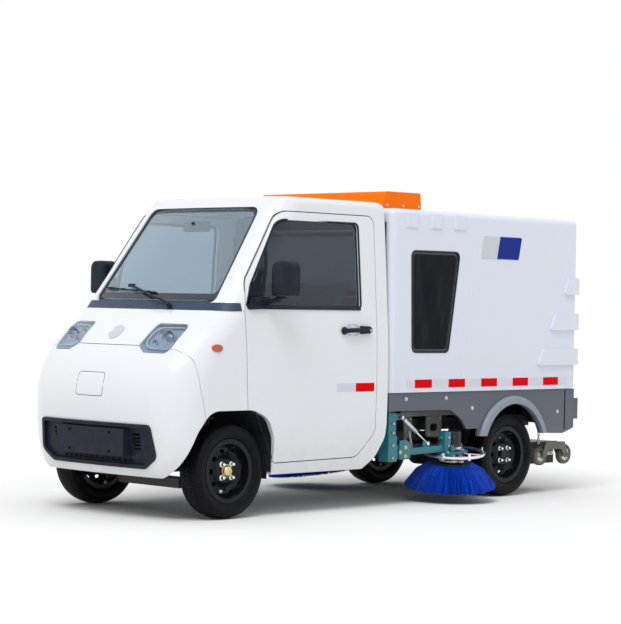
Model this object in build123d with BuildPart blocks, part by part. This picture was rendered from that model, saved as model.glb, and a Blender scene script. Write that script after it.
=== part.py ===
from build123d import *
import os
from math import atan, cos, pi, radians, sin, tan

# Small electric street sweeper truck: two-seat cab, box body with a dust hopper, canted side
# brushes on folding arms and a suction nozzle on casters behind the rear axle.
# Millimetres. The front faces -Y, the driver's left is +X, +Z is up, the tyres stand on z = 0.

os.makedirs("parts", exist_ok=True)

# ---------------------------------------------------------------- driving dimensions
WHEELBASE = 2335
FRONT_OVERHANG = 495
REAR_OVERHANG = 675
TRACK_HALF = 510            # centre plane to the middle of a tyre
OVERALL_LENGTH = FRONT_OVERHANG + WHEELBASE + REAR_OVERHANG
FRONT_AXLE_Y = FRONT_OVERHANG - OVERALL_LENGTH / 2
REAR_AXLE_Y = FRONT_AXLE_Y + WHEELBASE

TYRE_RADIUS = 254           # 145/70 R12
BEAD_RADIUS = 152
RIM_FLANGE_RADIUS = 170
RIM_WALL = 6
HUB_BORE_RADIUS = 30
AXLE_Z = TYRE_RADIUS

CAB_WALL = 35
CAB_FLOOR_Z = 345
CAB_BELT_Z = 1100
CAB_ROOF_Z = 1728
CAB_REAR_Y = FRONT_AXLE_Y + 1180
CAB_ROOF_FILLET = 45
SEAM = 5                    # gap round a door
GLASS = 6

BOX_HALF_WIDTH = 625
BOX_BOTTOM_Z = 648
BOX_TOP_Z = 1700
BOX_WALL = 30
BOX_EDGE_RADIUS = 38

FLOOR_THICKNESS = 25
FLOOR_FRONT = -310          # distance of the floor's front edge behind the front axle
RAIL_X = 270                # middle of a chassis rail
RAIL_WIDTH = 50
RAIL_HEIGHT = 70
RAIL_FRONT_Z = CAB_FLOOR_Z - FLOOR_THICKNESS - RAIL_HEIGHT
RAIL_REAR_Z = 400           # underside of the rails below the box
RAIL_FRONT_END = -330       # distances behind the front axle
KICK_START = 1150
KICK_END = 1290
RAIL_REAR_END = 2900


def front_y(distance):
    """Y of a place that lies the given distance behind the front axle."""
    return FRONT_AXLE_Y + distance


def save(part, name):
    """Label a finished piece and write it as one STEP file."""
    part.label = name
    export_step(part, "parts/" + name + ".step")


def profile_slab(outline, x_low, x_high):
    """A closed (y, z) outline extruded from one x to another."""
    with BuildPart() as slab:
        with BuildSketch(Plane.YZ.offset(x_low)):
            with BuildLine():
                Polyline(outline, close=True)
            make_face()
        extrude(amount=x_high - x_low)
    return slab.part


def block(x_range, y_range, z_range, radius=0):
    """A box between three pairs of limits, its upright edges rounded where a radius is given."""
    centre = [(a + b) / 2 for a, b in (x_range, y_range, z_range)]
    size = [b - a for a, b in (x_range, y_range, z_range)]
    with BuildPart() as solid:
        with Locations(tuple(centre)):
            Box(*size)
        if radius:
            fillet(solid.edges().filter_by(Axis.Z), radius)
    return solid.part


def rod(start, end, radius):
    """A round bar from one point to another."""
    path = Vector(*end) - Vector(*start)
    with BuildPart() as bar:
        with BuildSketch(Plane(origin=start, z_dir=path)):
            Circle(radius)
        extrude(amount=path.length)
    return bar.part


def both_sides(part):
    """A piece and its mirror image across the centre plane, as two solids."""
    return Compound(children=[part, mirror(part, about=Plane.YZ)])


def joined(first, *others):
    """Several solids fused to one."""
    result = first
    for other in others:
        result = result + other
    return result


# ---------------------------------------------------------------- cab body forms
# One row per level of the lower body: height, y of the nose behind the front axle, how far
# the nose bows forward of its corners, x of the corner, x of the flank.
BODY_LEVELS = (
    (225, -405, 18, 400, 596),
    (330, -440, 22, 440, 613),
    (500, -474, 28, 440, 622),
    (700, -491, 42, 430, 625),
    (870, -408, 47, 450, 623),
    (1020, -258, 54, 461, 617),
    (1100, -137, 50, 480, 611),
)
# The same for the glasshouse, from the belt to the roof.
HOUSE_LEVELS = (
    (1100, -124, 40, 487, 611),
    (1400, 96, 38, 459, 592),
    (1728, 335, 36, 428, 568),
)


def plan_section(z, nose, bow, corner_x, side_x, inset, rear_y):
    """Draw one level of the cab in plan: straight flanks, round corners, a bowed front."""
    corner_x = corner_x - inset * 0.75
    side_x = side_x - inset
    nose_y = front_y(nose) + inset
    corner_y = nose_y + bow
    turn = pi / 2 - 2 * atan(bow / corner_x)
    side_y = corner_y + (side_x - corner_x) / tan(turn / 2)
    with BuildSketch(Plane.XY.offset(z)) as section:
        with BuildLine():
            ThreePointArc((-corner_x, corner_y), (0, nose_y), (corner_x, corner_y))
            TangentArc((side_x, side_y), (corner_x, corner_y), tangent=(0, -1))
            Line((side_x, side_y), (side_x, rear_y))
            Line((side_x, rear_y), (-side_x, rear_y))
            Line((-side_x, rear_y), (-side_x, side_y))
            TangentArc((-side_x, side_y), (-corner_x, corner_y), tangent=(0, -1))
        make_face()
    return section.sketch


def cab_form(levels, inset, rear_y, lowest=None, highest=None):
    """Loft the cab's levels, drawn in by an inset, and trim the form to a band of heights."""
    sections = [plan_section(*level, inset, rear_y) for level in levels]
    with BuildPart() as form:
        loft(sections)
        if lowest is not None:
            split(bisect_by=Plane.XY.offset(lowest), keep=Keep.TOP)
        if highest is not None:
            split(bisect_by=Plane.XY.offset(highest), keep=Keep.BOTTOM)
    return form.part


def outline_slab(points, radii, plane, depth, grow=0):
    """A closed outline with rounded corners, drawn on a plane, grown and then extruded."""
    with BuildPart() as slab:
        with BuildSketch(plane):
            with BuildLine():
                FilletPolyline(*points, radius=radii, close=True)
            make_face()
            if grow:
                offset(amount=grow, kind=Kind.INTERSECTION)
        extrude(amount=depth)
    return slab.part


def side_slab(points, radii, x_low, x_high, grow=0):
    """A (distance behind the front axle, z) outline made solid between two x planes."""
    places = [(front_y(distance), z) for distance, z in points]
    return outline_slab(places, radii, Plane.YZ.offset(x_low), x_high - x_low, grow)


def front_slab(points, radii, y_low, y_high, grow=0):
    """A (x, z) outline made solid between two y planes."""
    plane = Plane(origin=(0, y_low, 0), x_dir=(-1, 0, 0), z_dir=(0, 1, 0))
    places = [(-x, z) for x, z in points]
    return outline_slab(places, radii, plane, y_high - y_low, grow)


# ---------------------------------------------------------------- outlines on the cab
# Distances behind the front axle and heights, seen from the side.
DOOR_OUTLINE = ((50, 1100), (66, 700), (76, 560), (160, 380), (298, 285), (940, 292),
                (1089, 430), (1090, 1648), (350, 1648), (80, 1262))
DOOR_RADII = (60, 60, 30, 20, 12, 90, 90, 55, 110, 150)
PANE_OUTLINE = ((66, 1124), (112, 1240), (342, 1597), (952, 1597), (958, 1130))
PANE_RADII = (10, 60, 90, 25, 20)
DIVIDER_FOOT = 159          # the bar between quarter panel and pane, at its two ends
DIVIDER_TOP = 260
NOSE_OUTLINE = ((-650, 914), (-345, 911), (-288, 850), (-262, 690), (-222, 520), (-222, 100),
                (-650, 100))
NOSE_RADII = (5, 30, 90, 300, 60, 5, 5)
NOSE_GAP = 3
ARCH_OUTLINE = ((-385, 180), (-361, 263), (-275, 470), (-190, 577), (120, 577), (235, 530),
                (284, 420), (284, 180))
ARCH_RADII = (5, 60, 110, 90, 130, 90, 60, 5)
HEEL_OUTLINE = ((940, 150), (1000, 222), (1100, 290), (1172, 400), (1186, 520), (1260, 520),
                (1260, 150))
HEEL_RADII = (5, 40, 110, 110, 5, 5, 5)
ARCH_INNER_X = 306

# Across the cab, seen from the front.
SCREEN_OUTLINE = ((-486, 1143), (486, 1143), (434, 1668), (-434, 1668))
SCREEN_RADII = (30, 30, 55, 55)
REAR_PANE_OUTLINE = ((-430, 1200), (430, 1200), (410, 1560), (-410, 1560))
REAR_PANE_RADII = (45, 45, 45, 45)
GRILLE_OUTLINE = ((-437, 503), (437, 503), (462, 330), (370, 268), (-370, 268), (-462, 330))
GRILLE_RADII = (28, 28, 45, 45, 45, 45)
LAMP_OUTLINE = ((252, 1028), (466, 1027), (462, 872), (300, 874), (240, 908))
LAMP_RADII = (24, 34, 34, 30, 26)

# ---------------------------------------------------------------- cab
body_outer = cab_form(BODY_LEVELS, 0, CAB_REAR_Y)
body_inner = cab_form(BODY_LEVELS, CAB_WALL, CAB_REAR_Y - CAB_WALL)
house_outer = cab_form(HOUSE_LEVELS, 0, CAB_REAR_Y)
house_inner = cab_form(HOUSE_LEVELS, CAB_WALL, CAB_REAR_Y - CAB_WALL, highest=CAB_ROOF_Z - CAB_WALL)

with BuildPart() as cab_skin:
    add(body_outer)
    add(house_outer)
    roof_edges = cab_skin.edges().filter_by(lambda edge: abs(edge.center().Z - CAB_ROOF_Z) < 1)
    fillet(roof_edges, CAB_ROOF_FILLET)
    add(body_inner, mode=Mode.SUBTRACT)
    add(house_inner, mode=Mode.SUBTRACT)

arch_cut = side_slab(ARCH_OUTLINE, ARCH_RADII, ARCH_INNER_X, BOX_HALF_WIDTH + 100)
door_cut = side_slab(DOOR_OUTLINE, DOOR_RADII, 450, BOX_HALF_WIDTH + 100)
door_form = side_slab(DOOR_OUTLINE, DOOR_RADII, 450, BOX_HALF_WIDTH + 100, grow=-SEAM)
pane_cut = side_slab(PANE_OUTLINE, PANE_RADII, 450, BOX_HALF_WIDTH + 100)
SCREEN_DEPTH = 620          # the windscreen's cutter ends inside the cab
screen_cut = front_slab(SCREEN_OUTLINE, SCREEN_RADII, front_y(-300), front_y(SCREEN_DEPTH))
rear_pane_cut = front_slab(REAR_PANE_OUTLINE, REAR_PANE_RADII, CAB_REAR_Y - 60, CAB_REAR_Y + 5)
grille_cut = front_slab(GRILLE_OUTLINE, GRILLE_RADII, front_y(-600), front_y(-300))
lamp_cut = front_slab(LAMP_OUTLINE, LAMP_RADII, front_y(-600), front_y(-60))
COWL_TOP_Z = 1143
COWL_REAR = 34
COWL_DEPTH = 18             # how deep the cowl lies in the cab's wall
cowl_band = block((-700, 700), (front_y(-400), front_y(COWL_REAR)), (CAB_BELT_Z, COWL_TOP_Z))
cowl_cut = cowl_band - cab_form(HOUSE_LEVELS, COWL_DEPTH, CAB_REAR_Y)
nose_cut = side_slab(NOSE_OUTLINE, NOSE_RADII, -700, 700)
nose_form = side_slab(NOSE_OUTLINE, NOSE_RADII, -700, 700, grow=-NOSE_GAP)

with BuildPart() as cab_shell:
    add(cab_skin.part)
    add(body_inner & block((-700, 700), (front_y(FLOOR_FRONT), CAB_REAR_Y),
                           (CAB_FLOOR_Z - FLOOR_THICKNESS, CAB_FLOOR_Z)))
    add(arch_cut, mode=Mode.SUBTRACT)
    add(mirror(arch_cut, about=Plane.YZ), mode=Mode.SUBTRACT)
    add(door_cut & cab_skin.part, mode=Mode.SUBTRACT)
    add(mirror(door_cut & cab_skin.part, about=Plane.YZ), mode=Mode.SUBTRACT)
    add(screen_cut, mode=Mode.SUBTRACT)
    add(rear_pane_cut, mode=Mode.SUBTRACT)
    add(grille_cut, mode=Mode.SUBTRACT)
    add(lamp_cut, mode=Mode.SUBTRACT)
    add(mirror(lamp_cut, about=Plane.YZ), mode=Mode.SUBTRACT)
    add(cowl_cut, mode=Mode.SUBTRACT)
    add(side_slab(HEEL_OUTLINE, HEEL_RADII, -700, 700), mode=Mode.SUBTRACT)
    add(nose_cut & cab_skin.part, mode=Mode.SUBTRACT)
with BuildPart() as nose_cover:
    add(cab_skin.part & nose_form)
    add(arch_cut, mode=Mode.SUBTRACT)
    add(mirror(arch_cut, about=Plane.YZ), mode=Mode.SUBTRACT)
    add(grille_cut, mode=Mode.SUBTRACT)
    add(lamp_cut, mode=Mode.SUBTRACT)
    add(mirror(lamp_cut, about=Plane.YZ), mode=Mode.SUBTRACT)
save(nose_cover.part, "nose_cover")
save(cab_shell.part, "cab_shell")

DOOR_WINDOW_INSET = 12      # how far the glass lies inside the cab's skin
body_glass_outer = cab_form(HOUSE_LEVELS, DOOR_WINDOW_INSET, CAB_REAR_Y - DOOR_WINDOW_INSET)
body_glass_inner = cab_form(HOUSE_LEVELS, DOOR_WINDOW_INSET + GLASS, CAB_REAR_Y)
glass_zone = body_glass_outer - body_glass_inner

trim_inner = cab_form(BODY_LEVELS, CAB_WALL - 5, CAB_REAR_Y)
lamp_outer = cab_form(BODY_LEVELS, 1, CAB_REAR_Y)

with BuildPart() as cab_glass:
    add(glass_zone & screen_cut)
    add(rear_pane_cut & block((-700, 700), (CAB_REAR_Y - 20, CAB_REAR_Y - 20 + GLASS), (0, 2000)))
save(cab_glass.part, "cab_glass")

PLATE_HALF_WIDTH = 272
PLATE_LOW_Z = 330
PLATE_HIGH_Z = 474
PLATE_FRONT = -486          # distance of the plate holder's face behind the front axle
GRILLE_BORDER = 20          # width of the raised border round the grille
GRILLE_RAISE = 8            # how far the border stands proud of the nose
GRILLE_SINK = 10            # how far the field inside it lies back
LOUVRE_COUNT = 5
LOUVRE_PITCH = 25
LOUVRE_SLOT = 12
LOUVRE_X = (288, 345)
LOUVRE_LOW_Z = 342
LOUVRE_BACK = -428          # distance of a slot's floor behind the front axle
LOWER_SLOT_COUNT = 9
LOWER_SLOT_PITCH = 52
LOWER_SLOT_Z = (290, 320)
grille_opening = front_slab(GRILLE_OUTLINE, GRILLE_RADII, front_y(-600), front_y(-300), grow=-GRILLE_BORDER)
border_form = cab_form(BODY_LEVELS, -GRILLE_RAISE, CAB_REAR_Y) - trim_inner
field_form = cab_form(BODY_LEVELS, GRILLE_SINK, CAB_REAR_Y) - trim_inner
with BuildPart() as front_grille:
    add(border_form & (grille_cut - grille_opening))
    add(field_form & grille_opening)
    for side in (-1, 1):
        x_pair = sorted((side * LOUVRE_X[0], side * LOUVRE_X[1]))
        for row in range(LOUVRE_COUNT):
            low = LOUVRE_LOW_Z + row * LOUVRE_PITCH
            add(block(x_pair, (front_y(-600), front_y(LOUVRE_BACK)), (low, low + LOUVRE_SLOT)),
                mode=Mode.SUBTRACT)
    for column in range(LOWER_SLOT_COUNT):
        middle = (column - (LOWER_SLOT_COUNT - 1) / 2) * LOWER_SLOT_PITCH
        add(block((middle - 14, middle + 14), (front_y(-600), front_y(LOUVRE_BACK)), LOWER_SLOT_Z),
            mode=Mode.SUBTRACT)
    add(block((-PLATE_HALF_WIDTH, PLATE_HALF_WIDTH), (front_y(PLATE_FRONT), front_y(PLATE_FRONT) + 60),
              (PLATE_LOW_Z, PLATE_HIGH_Z), 4))
save(front_grille.part, "front_grille")

lamp_solid = (lamp_outer - trim_inner) & lamp_cut
save(both_sides(lamp_solid), "headlamps")

REPEATER_BEHIND_AXLE = -152
REPEATER_Z = 905
with BuildPart() as repeater:
    with BuildSketch(Plane.YZ.offset(580)):
        with Locations((front_y(REPEATER_BEHIND_AXLE), REPEATER_Z)):
            Ellipse(34, 20)
    extrude(amount=60)
repeater_form = cab_form(BODY_LEVELS, -6, CAB_REAR_Y) - cab_form(BODY_LEVELS, 0, CAB_REAR_Y)
save(both_sides(repeater.part & repeater_form), "side_repeaters")

with BuildPart() as cab_cowl:
    add(house_outer & cowl_cut)
save(cab_cowl.part, "cab_cowl")

# ---------------------------------------------------------------- doors
door_skin = cab_skin.part & door_form
door_left = door_skin - arch_cut - pane_cut
save(door_left, "door_left")
save(mirror(door_left, about=Plane.YZ), "door_right")

divider = side_slab(((DIVIDER_FOOT, 1050), (DIVIDER_TOP, 1700), (DIVIDER_TOP - 400, 1700),
                     (DIVIDER_FOOT - 400, 1050)), 1, 450, 725)
pane = glass_zone & pane_cut
door_glass_left = pane - divider
save(door_glass_left, "door_glass_left")
save(mirror(door_glass_left, about=Plane.YZ), "door_glass_right")

MIRROR_X = (675, 805)
MIRROR_Y = (172, 266)
MIRROR_Z = (1182, 1371)
HANDLE_Y = (790, 1036)
HANDLE_Z = (985, 1022)
HANDLE_X = (622, 648)
MIRROR_FOOT_OUTLINE = ((58, 1108), (262, 1116), (258, 1180), (90, 1180))
quarter_zone = cab_form(HOUSE_LEVELS, 2, CAB_REAR_Y) - body_glass_inner
mirror_foot_zone = cab_form(HOUSE_LEVELS, -12, CAB_REAR_Y) - cab_form(HOUSE_LEVELS, 3, CAB_REAR_Y)
with BuildPart() as door_fittings_left:
    add(quarter_zone & pane_cut & divider)
    add(block(MIRROR_X, (front_y(MIRROR_Y[0]), front_y(MIRROR_Y[1])), MIRROR_Z, 34))
    add(mirror_foot_zone & side_slab(MIRROR_FOOT_OUTLINE, 8, 450, 725))
    add(rod((614, front_y(215), 1150), (720, front_y(222), 1210), 17))
    add(block(HANDLE_X, (front_y(HANDLE_Y[0]), front_y(HANDLE_Y[1])), HANDLE_Z, 8))
    add(block((605, HANDLE_X[0] + 2), (front_y(980), front_y(1030)), HANDLE_Z))
    add(block((605, HANDLE_X[0] + 2), (front_y(790), front_y(810)), HANDLE_Z))
fittings = door_fittings_left.part - door_left
save(fittings, "door_fittings_left")
save(mirror(fittings, about=Plane.YZ), "door_fittings_right")

# ---------------------------------------------------------------- front wheel arches
LINER_WALL = 5
LINER_OUTER_X = 596
with BuildPart() as liner:
    with BuildSketch(Plane.YZ.offset(ARCH_INNER_X)):
        with BuildLine():
            FilletPolyline(*[(front_y(y), z) for y, z in ARCH_OUTLINE], radius=ARCH_RADII, close=True)
        make_face()
    extrude(amount=LINER_OUTER_X - ARCH_INNER_X)
liner_cavity = side_slab(ARCH_OUTLINE, ARCH_RADII, ARCH_INNER_X + LINER_WALL, 700, grow=-LINER_WALL)
below_liner = block((-700, 700), (-2000, 2000), (0, 240))
liner_left = liner.part - liner_cavity - below_liner
save(both_sides(liner_left), "arch_liners")

# ---------------------------------------------------------------- cab interior
PLINTH_TOP = 600
CUSHION_THICKNESS = 110
CUSHION_HALF_WIDTH = 215
SEAT_X = 265
SEAT_FRONT = 560
SEAT_REAR = 985
BACK_THICKNESS = 100
BACK_TOP = 1290
BACK_LEAN = 60
with BuildPart() as seat_plinths:
    add(block((SEAT_X - 190, SEAT_X + 190), (front_y(SEAT_FRONT + 30), front_y(SEAT_REAR)),
              (CAB_FLOOR_Z, PLINTH_TOP), 20))
save(both_sides(seat_plinths.part), "seat_plinths")

with BuildPart() as cushion:
    add(block((SEAT_X - CUSHION_HALF_WIDTH, SEAT_X + CUSHION_HALF_WIDTH),
              (front_y(SEAT_FRONT), front_y(SEAT_REAR)), (PLINTH_TOP, PLINTH_TOP + CUSHION_THICKNESS), 50))
    fillet(cushion.edges().group_by(Axis.Z)[-1], 35)
save(both_sides(cushion.part), "seat_cushions")

BACK_FOOT_Z = PLINTH_TOP + CUSHION_THICKNESS + 2
with BuildPart() as back:
    with BuildSketch(Plane.YZ.offset(SEAT_X - CUSHION_HALF_WIDTH)):
        with BuildLine():
            Polyline((front_y(SEAT_REAR - BACK_THICKNESS), BACK_FOOT_Z), (front_y(SEAT_REAR), BACK_FOOT_Z),
                     (front_y(SEAT_REAR + BACK_LEAN), BACK_TOP),
                     (front_y(SEAT_REAR + BACK_LEAN - BACK_THICKNESS), BACK_TOP), close=True)
        make_face()
    extrude(amount=2 * CUSHION_HALF_WIDTH)
    fillet(back.edges().filter_by(Axis.Z, reverse=True).group_by(Axis.Z)[-1], 30)
save(both_sides(back.part), "seat_backs")

DASH_REAR = 190             # how far the dashboard reaches behind the front axle
DASH_FRONT = 20
DASH_LOW_Z = 760
with BuildPart() as dashboard:
    with BuildSketch(Plane.YZ.offset(-560)):
        with BuildLine():
            FilletPolyline(*[(front_y(y), z) for y, z in
                             ((DASH_FRONT, DASH_LOW_Z), (130, DASH_LOW_Z + 20), (DASH_REAR, 900),
                              (DASH_REAR - 20, 1075), (DASH_FRONT, 1088))], radius=25, close=True)
        make_face()
    extrude(amount=1120)

COLUMN_X = 265
WHEEL_CENTRE = (COLUMN_X, front_y(330), 985)
WHEEL_LEAN = 32             # degrees the column leans back from upright, seen from the side
WHEEL_AXIS = (0, -cos(radians(WHEEL_LEAN)), -sin(radians(WHEEL_LEAN)))
STEERING_RADIUS = 175
GRIP_RADIUS = 13
wheel_plane = Plane(origin=WHEEL_CENTRE, x_dir=(1, 0, 0), z_dir=WHEEL_AXIS)
column_end = wheel_plane.from_local_coords((0, 0, 190))
column_start = wheel_plane.from_local_coords((0, 0, 58))
dash_parts = joined(dashboard.part & cab_form(BODY_LEVELS, CAB_WALL + 1, CAB_REAR_Y),
                    rod(tuple(column_start), tuple(column_end), 30))
save(dash_parts, "dashboard")

with BuildPart() as steering_wheel:
    with Locations(wheel_plane):
        Torus(STEERING_RADIUS, GRIP_RADIUS)
    with BuildSketch(wheel_plane.offset(6)):
        with PolarLocations(0, 3, start_angle=-90):
            Rectangle(STEERING_RADIUS, 34, align=(Align.MIN, Align.CENTER))
        Circle(55)
    extrude(amount=14)
    with BuildSketch(wheel_plane.offset(20)):
        Circle(34)
    extrude(amount=30)
save(steering_wheel.part, "steering_wheel")

# ---------------------------------------------------------------- box body
BOX_FRONT = 1200            # distances behind the front axle
BOX_REAR = 2948
DOOR_RECESS = 35
with BuildPart() as box_outer:
    add(block((-BOX_HALF_WIDTH, BOX_HALF_WIDTH), (front_y(BOX_FRONT), front_y(BOX_REAR)),
              (BOX_BOTTOM_Z, BOX_TOP_Z)))
    fillet(box_outer.edges().filter_by(Axis.Z), BOX_EDGE_RADIUS)
    fillet(box_outer.edges().group_by(Axis.Z)[-1], BOX_EDGE_RADIUS)

WINDOW_OUTLINE = ((1386, 883), (1698, 882), (1789, 1459), (1368, 1457))
WINDOW_RADII = (28, 28, 28, 28)
# Low step of each rear strake: height of its foot and head, distance of its foot and head.
STRAKES = ((1233, 1337, 2803, 2842), (1012, 1116, 2667, 2718), (796, 898, 2546, 2598))
STRAKE_DEPTH = 14
# Ends of the three pads under the roof edge.
PADS = ((1313, 1414), (1524, 1625), (1737, 1837))
PAD_LOW_Z = 1597
with BuildPart() as box_body:
    add(box_outer.part)
    for foot_z, head_z, foot, head in STRAKES:
        strake = side_slab(((foot, foot_z), (BOX_REAR - 1, foot_z), (BOX_REAR - 1, head_z),
                            (head, head_z)), 8, BOX_HALF_WIDTH - 4, BOX_HALF_WIDTH + STRAKE_DEPTH)
        add(strake)
        add(mirror(strake, about=Plane.YZ))
    for start, end in PADS:
        pad = block((BOX_HALF_WIDTH - 60, BOX_HALF_WIDTH + 9), (front_y(start), front_y(end)),
                    (PAD_LOW_Z, BOX_TOP_Z - 24), 8)
        add(pad)
        add(mirror(pad, about=Plane.YZ))
    add(block((-BOX_HALF_WIDTH + BOX_WALL, BOX_HALF_WIDTH - BOX_WALL),
              (front_y(BOX_FRONT) + BOX_WALL, front_y(BOX_REAR) + 10),
              (BOX_BOTTOM_Z + BOX_WALL, BOX_TOP_Z - BOX_WALL)), mode=Mode.SUBTRACT)
    add(side_slab(WINDOW_OUTLINE, WINDOW_RADII, -700, 700), mode=Mode.SUBTRACT)
save(box_body.part, "box_body")

box_pane = side_slab(WINDOW_OUTLINE, WINDOW_RADII, BOX_HALF_WIDTH - 12, BOX_HALF_WIDTH - 12 + GLASS)
save(both_sides(box_pane), "box_windows")

REAR_DOOR_GAP = 6
REAR_DOOR_LOW_Z = BOX_BOTTOM_Z + BOX_WALL + REAR_DOOR_GAP
REAR_DOOR_HIGH_Z = BOX_TOP_Z - BOX_WALL - REAR_DOOR_GAP
REAR_DOOR_HALF_WIDTH = BOX_HALF_WIDTH - BOX_WALL - REAR_DOOR_GAP
REAR_HINGE = (front_y(BOX_REAR + 3), REAR_DOOR_HIGH_Z)
REAR_BARREL_RADIUS = 5
with BuildPart() as rear_door:
    add(block((-REAR_DOOR_HALF_WIDTH, REAR_DOOR_HALF_WIDTH),
              (front_y(BOX_REAR - DOOR_RECESS), front_y(BOX_REAR)), (REAR_DOOR_LOW_Z, REAR_DOOR_HIGH_Z)))
    add(block((-70, 70), (front_y(BOX_REAR), front_y(BOX_REAR) + 14),
              (REAR_DOOR_LOW_Z + 60, REAR_DOOR_LOW_Z + 110)))
    for start in (-430, 350):
        add(rod((start, *REAR_HINGE), (start + 80, *REAR_HINGE), REAR_BARREL_RADIUS))
save(rear_door.part, "rear_door")

FAIRING_PROFILE = ((1236, BOX_TOP_Z), (1277, 1800), (1574, 1802), (1582, BOX_TOP_Z))
FAIRING_HALF_WIDTH = 500
save(side_slab(FAIRING_PROFILE, (2, 14, 14, 2), -FAIRING_HALF_WIDTH, FAIRING_HALF_WIDTH), "roof_fairing")

# ---------------------------------------------------------------- skirts, bumper, tail lamps
SKIRT_X = (598, 616)
SKIRT_OUTLINE = ((1203, 645), (1203, 544), (1749, 540), (1850, 480), (1894, 424), (2000, 424),
                 (2000, 360), (2640, 360), (2640, 377), (2832, 370), (2943, 402), (2943, 645))
SKIRT_RADII = (2, 2, 60, 30, 12, 2, 2, 2, 2, 20, 12, 2)
FLARE_INNER = 290
FLARE_OUTER = 338
FLARE_CENTRE_Z = 275
FLARE_X = (596, 640)
flare_axis = Plane(origin=(FLARE_X[0], REAR_AXLE_Y, FLARE_CENTRE_Z), x_dir=(0, 1, 0), z_dir=(1, 0, 0))
with BuildPart() as flare:
    with BuildSketch(flare_axis):
        Circle(FLARE_OUTER)
        Circle(FLARE_INNER, mode=Mode.SUBTRACT)
    extrude(amount=FLARE_X[1] - FLARE_X[0])
    fillet(flare.faces().sort_by(Axis.X)[-1].edges().sort_by(SortBy.RADIUS)[-1], 22)
    split(bisect_by=Plane.XY.offset(378), keep=Keep.TOP)
with BuildPart() as skirt:
    add(side_slab(SKIRT_OUTLINE, SKIRT_RADII, *SKIRT_X))
    with BuildSketch(flare_axis.offset(-20)):
        Circle(FLARE_INNER)
    extrude(amount=100, mode=Mode.SUBTRACT)
    add(block((590, 700), (front_y(2000), front_y(2640)), (350, 378)), mode=Mode.SUBTRACT)
    add(flare.part)
save(both_sides(skirt.part), "box_skirts")

with BuildPart() as rear_bumper:
    add(block((-596, 596), (front_y(2918), front_y(2943)), (418, 645)))
    add(block((-600, 600), (front_y(2943), OVERALL_LENGTH / 2), (455, 585), 6))
save(rear_bumper.part, "rear_bumper")

with BuildPart() as tail_lamp:
    add(block((430, 590), (front_y(2943), front_y(2943) + 22), (588, 640), 4))
save(both_sides(tail_lamp.part), "tail_lamps")

# ---------------------------------------------------------------- chassis
RAIL_PROFILE = ((RAIL_FRONT_END, RAIL_FRONT_Z), (KICK_START, RAIL_FRONT_Z), (KICK_END, RAIL_REAR_Z),
                (RAIL_REAR_END, RAIL_REAR_Z), (RAIL_REAR_END, RAIL_REAR_Z + RAIL_HEIGHT),
                (KICK_END - 30, RAIL_REAR_Z + RAIL_HEIGHT), (KICK_START - 30, RAIL_FRONT_Z + RAIL_HEIGHT),
                (RAIL_FRONT_END, RAIL_FRONT_Z + RAIL_HEIGHT))
RAIL_INNER_X = RAIL_X - RAIL_WIDTH / 2
RAIL_OUTER_X = RAIL_X + RAIL_WIDTH / 2
# Cross members between the rails: distance behind the front axle, underside, height.
CROSS_MEMBERS = ((-300, RAIL_FRONT_Z, RAIL_HEIGHT), (420, RAIL_FRONT_Z, RAIL_HEIGHT),
                 (1000, RAIL_FRONT_Z, RAIL_HEIGHT), (2060, RAIL_REAR_Z, RAIL_HEIGHT),
                 (2860, RAIL_REAR_Z, RAIL_HEIGHT))
# Bearers that carry the box: distance behind the front axle, half length.
BEARERS = ((1275, 596), (1720, 560), (2060, 430), (2560, 430), (2860, 560))
BEARER_WIDTH = 50
BEARER_HEIGHT = 60
POST_X = 550
POST_BEHIND_AXLE = 1275
POST_PIN_RADIUS = 17
POST_TOP_Z = 530
POST_FOOT_Z = 252
TOW_PLATE_HALF_WIDTH = 40
TOW_PLATE_THICKNESS = 14
TOW_EYE_BEHIND_AXLE = 2975
TOW_EYE_RADIUS = 13
STANDOFF_TOP_Z = BOX_BOTTOM_Z - BEARER_HEIGHT
with BuildPart() as chassis_frame:
    rail = profile_slab([(front_y(y), z) for y, z in RAIL_PROFILE], RAIL_INNER_X, RAIL_OUTER_X)
    add(rail)
    add(mirror(rail, about=Plane.YZ))
    for distance, low, height in CROSS_MEMBERS:
        add(block((-RAIL_X, RAIL_X), (front_y(distance) - 25, front_y(distance) + 25), (low, low + height)))
    add(block((-TOW_PLATE_HALF_WIDTH, TOW_PLATE_HALF_WIDTH),
              (front_y(CROSS_MEMBERS[-1][0]), front_y(TOW_EYE_BEHIND_AXLE + 30)),
              (RAIL_REAR_Z, RAIL_REAR_Z + TOW_PLATE_THICKNESS)))
    with Locations((0, front_y(TOW_EYE_BEHIND_AXLE), RAIL_REAR_Z + TOW_PLATE_THICKNESS)):
        Hole(TOW_EYE_RADIUS)
# The rails are two pieces that meet on a flat joint behind the cab floor.
FRAME_SPLIT = 1100          # distance behind the front axle
behind_split = block((-700, 700), (front_y(FRAME_SPLIT), front_y(3300)), (0, 1000))
with BuildPart() as front_frame:
    add(chassis_frame.part)
    add(behind_split, mode=Mode.SUBTRACT)
save(front_frame.part, "front_frame")
with BuildPart() as rear_frame:
    add(chassis_frame.part)
    add(behind_split, mode=Mode.INTERSECT)
save(rear_frame.part, "chassis_frame")

with BuildPart() as box_bearers:
    for distance, half_length in BEARERS:
        y_pair = (front_y(distance) - BEARER_WIDTH / 2, front_y(distance) + BEARER_WIDTH / 2)
        add(block((-half_length, half_length), y_pair, (STANDOFF_TOP_Z, BOX_BOTTOM_Z)))
        for side in (-1, 1):
            x_pair = sorted((side * RAIL_INNER_X, side * RAIL_OUTER_X))
            add(block(x_pair, y_pair, (RAIL_REAR_Z + RAIL_HEIGHT, STANDOFF_TOP_Z)))
save(box_bearers.part, "box_bearers")

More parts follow.
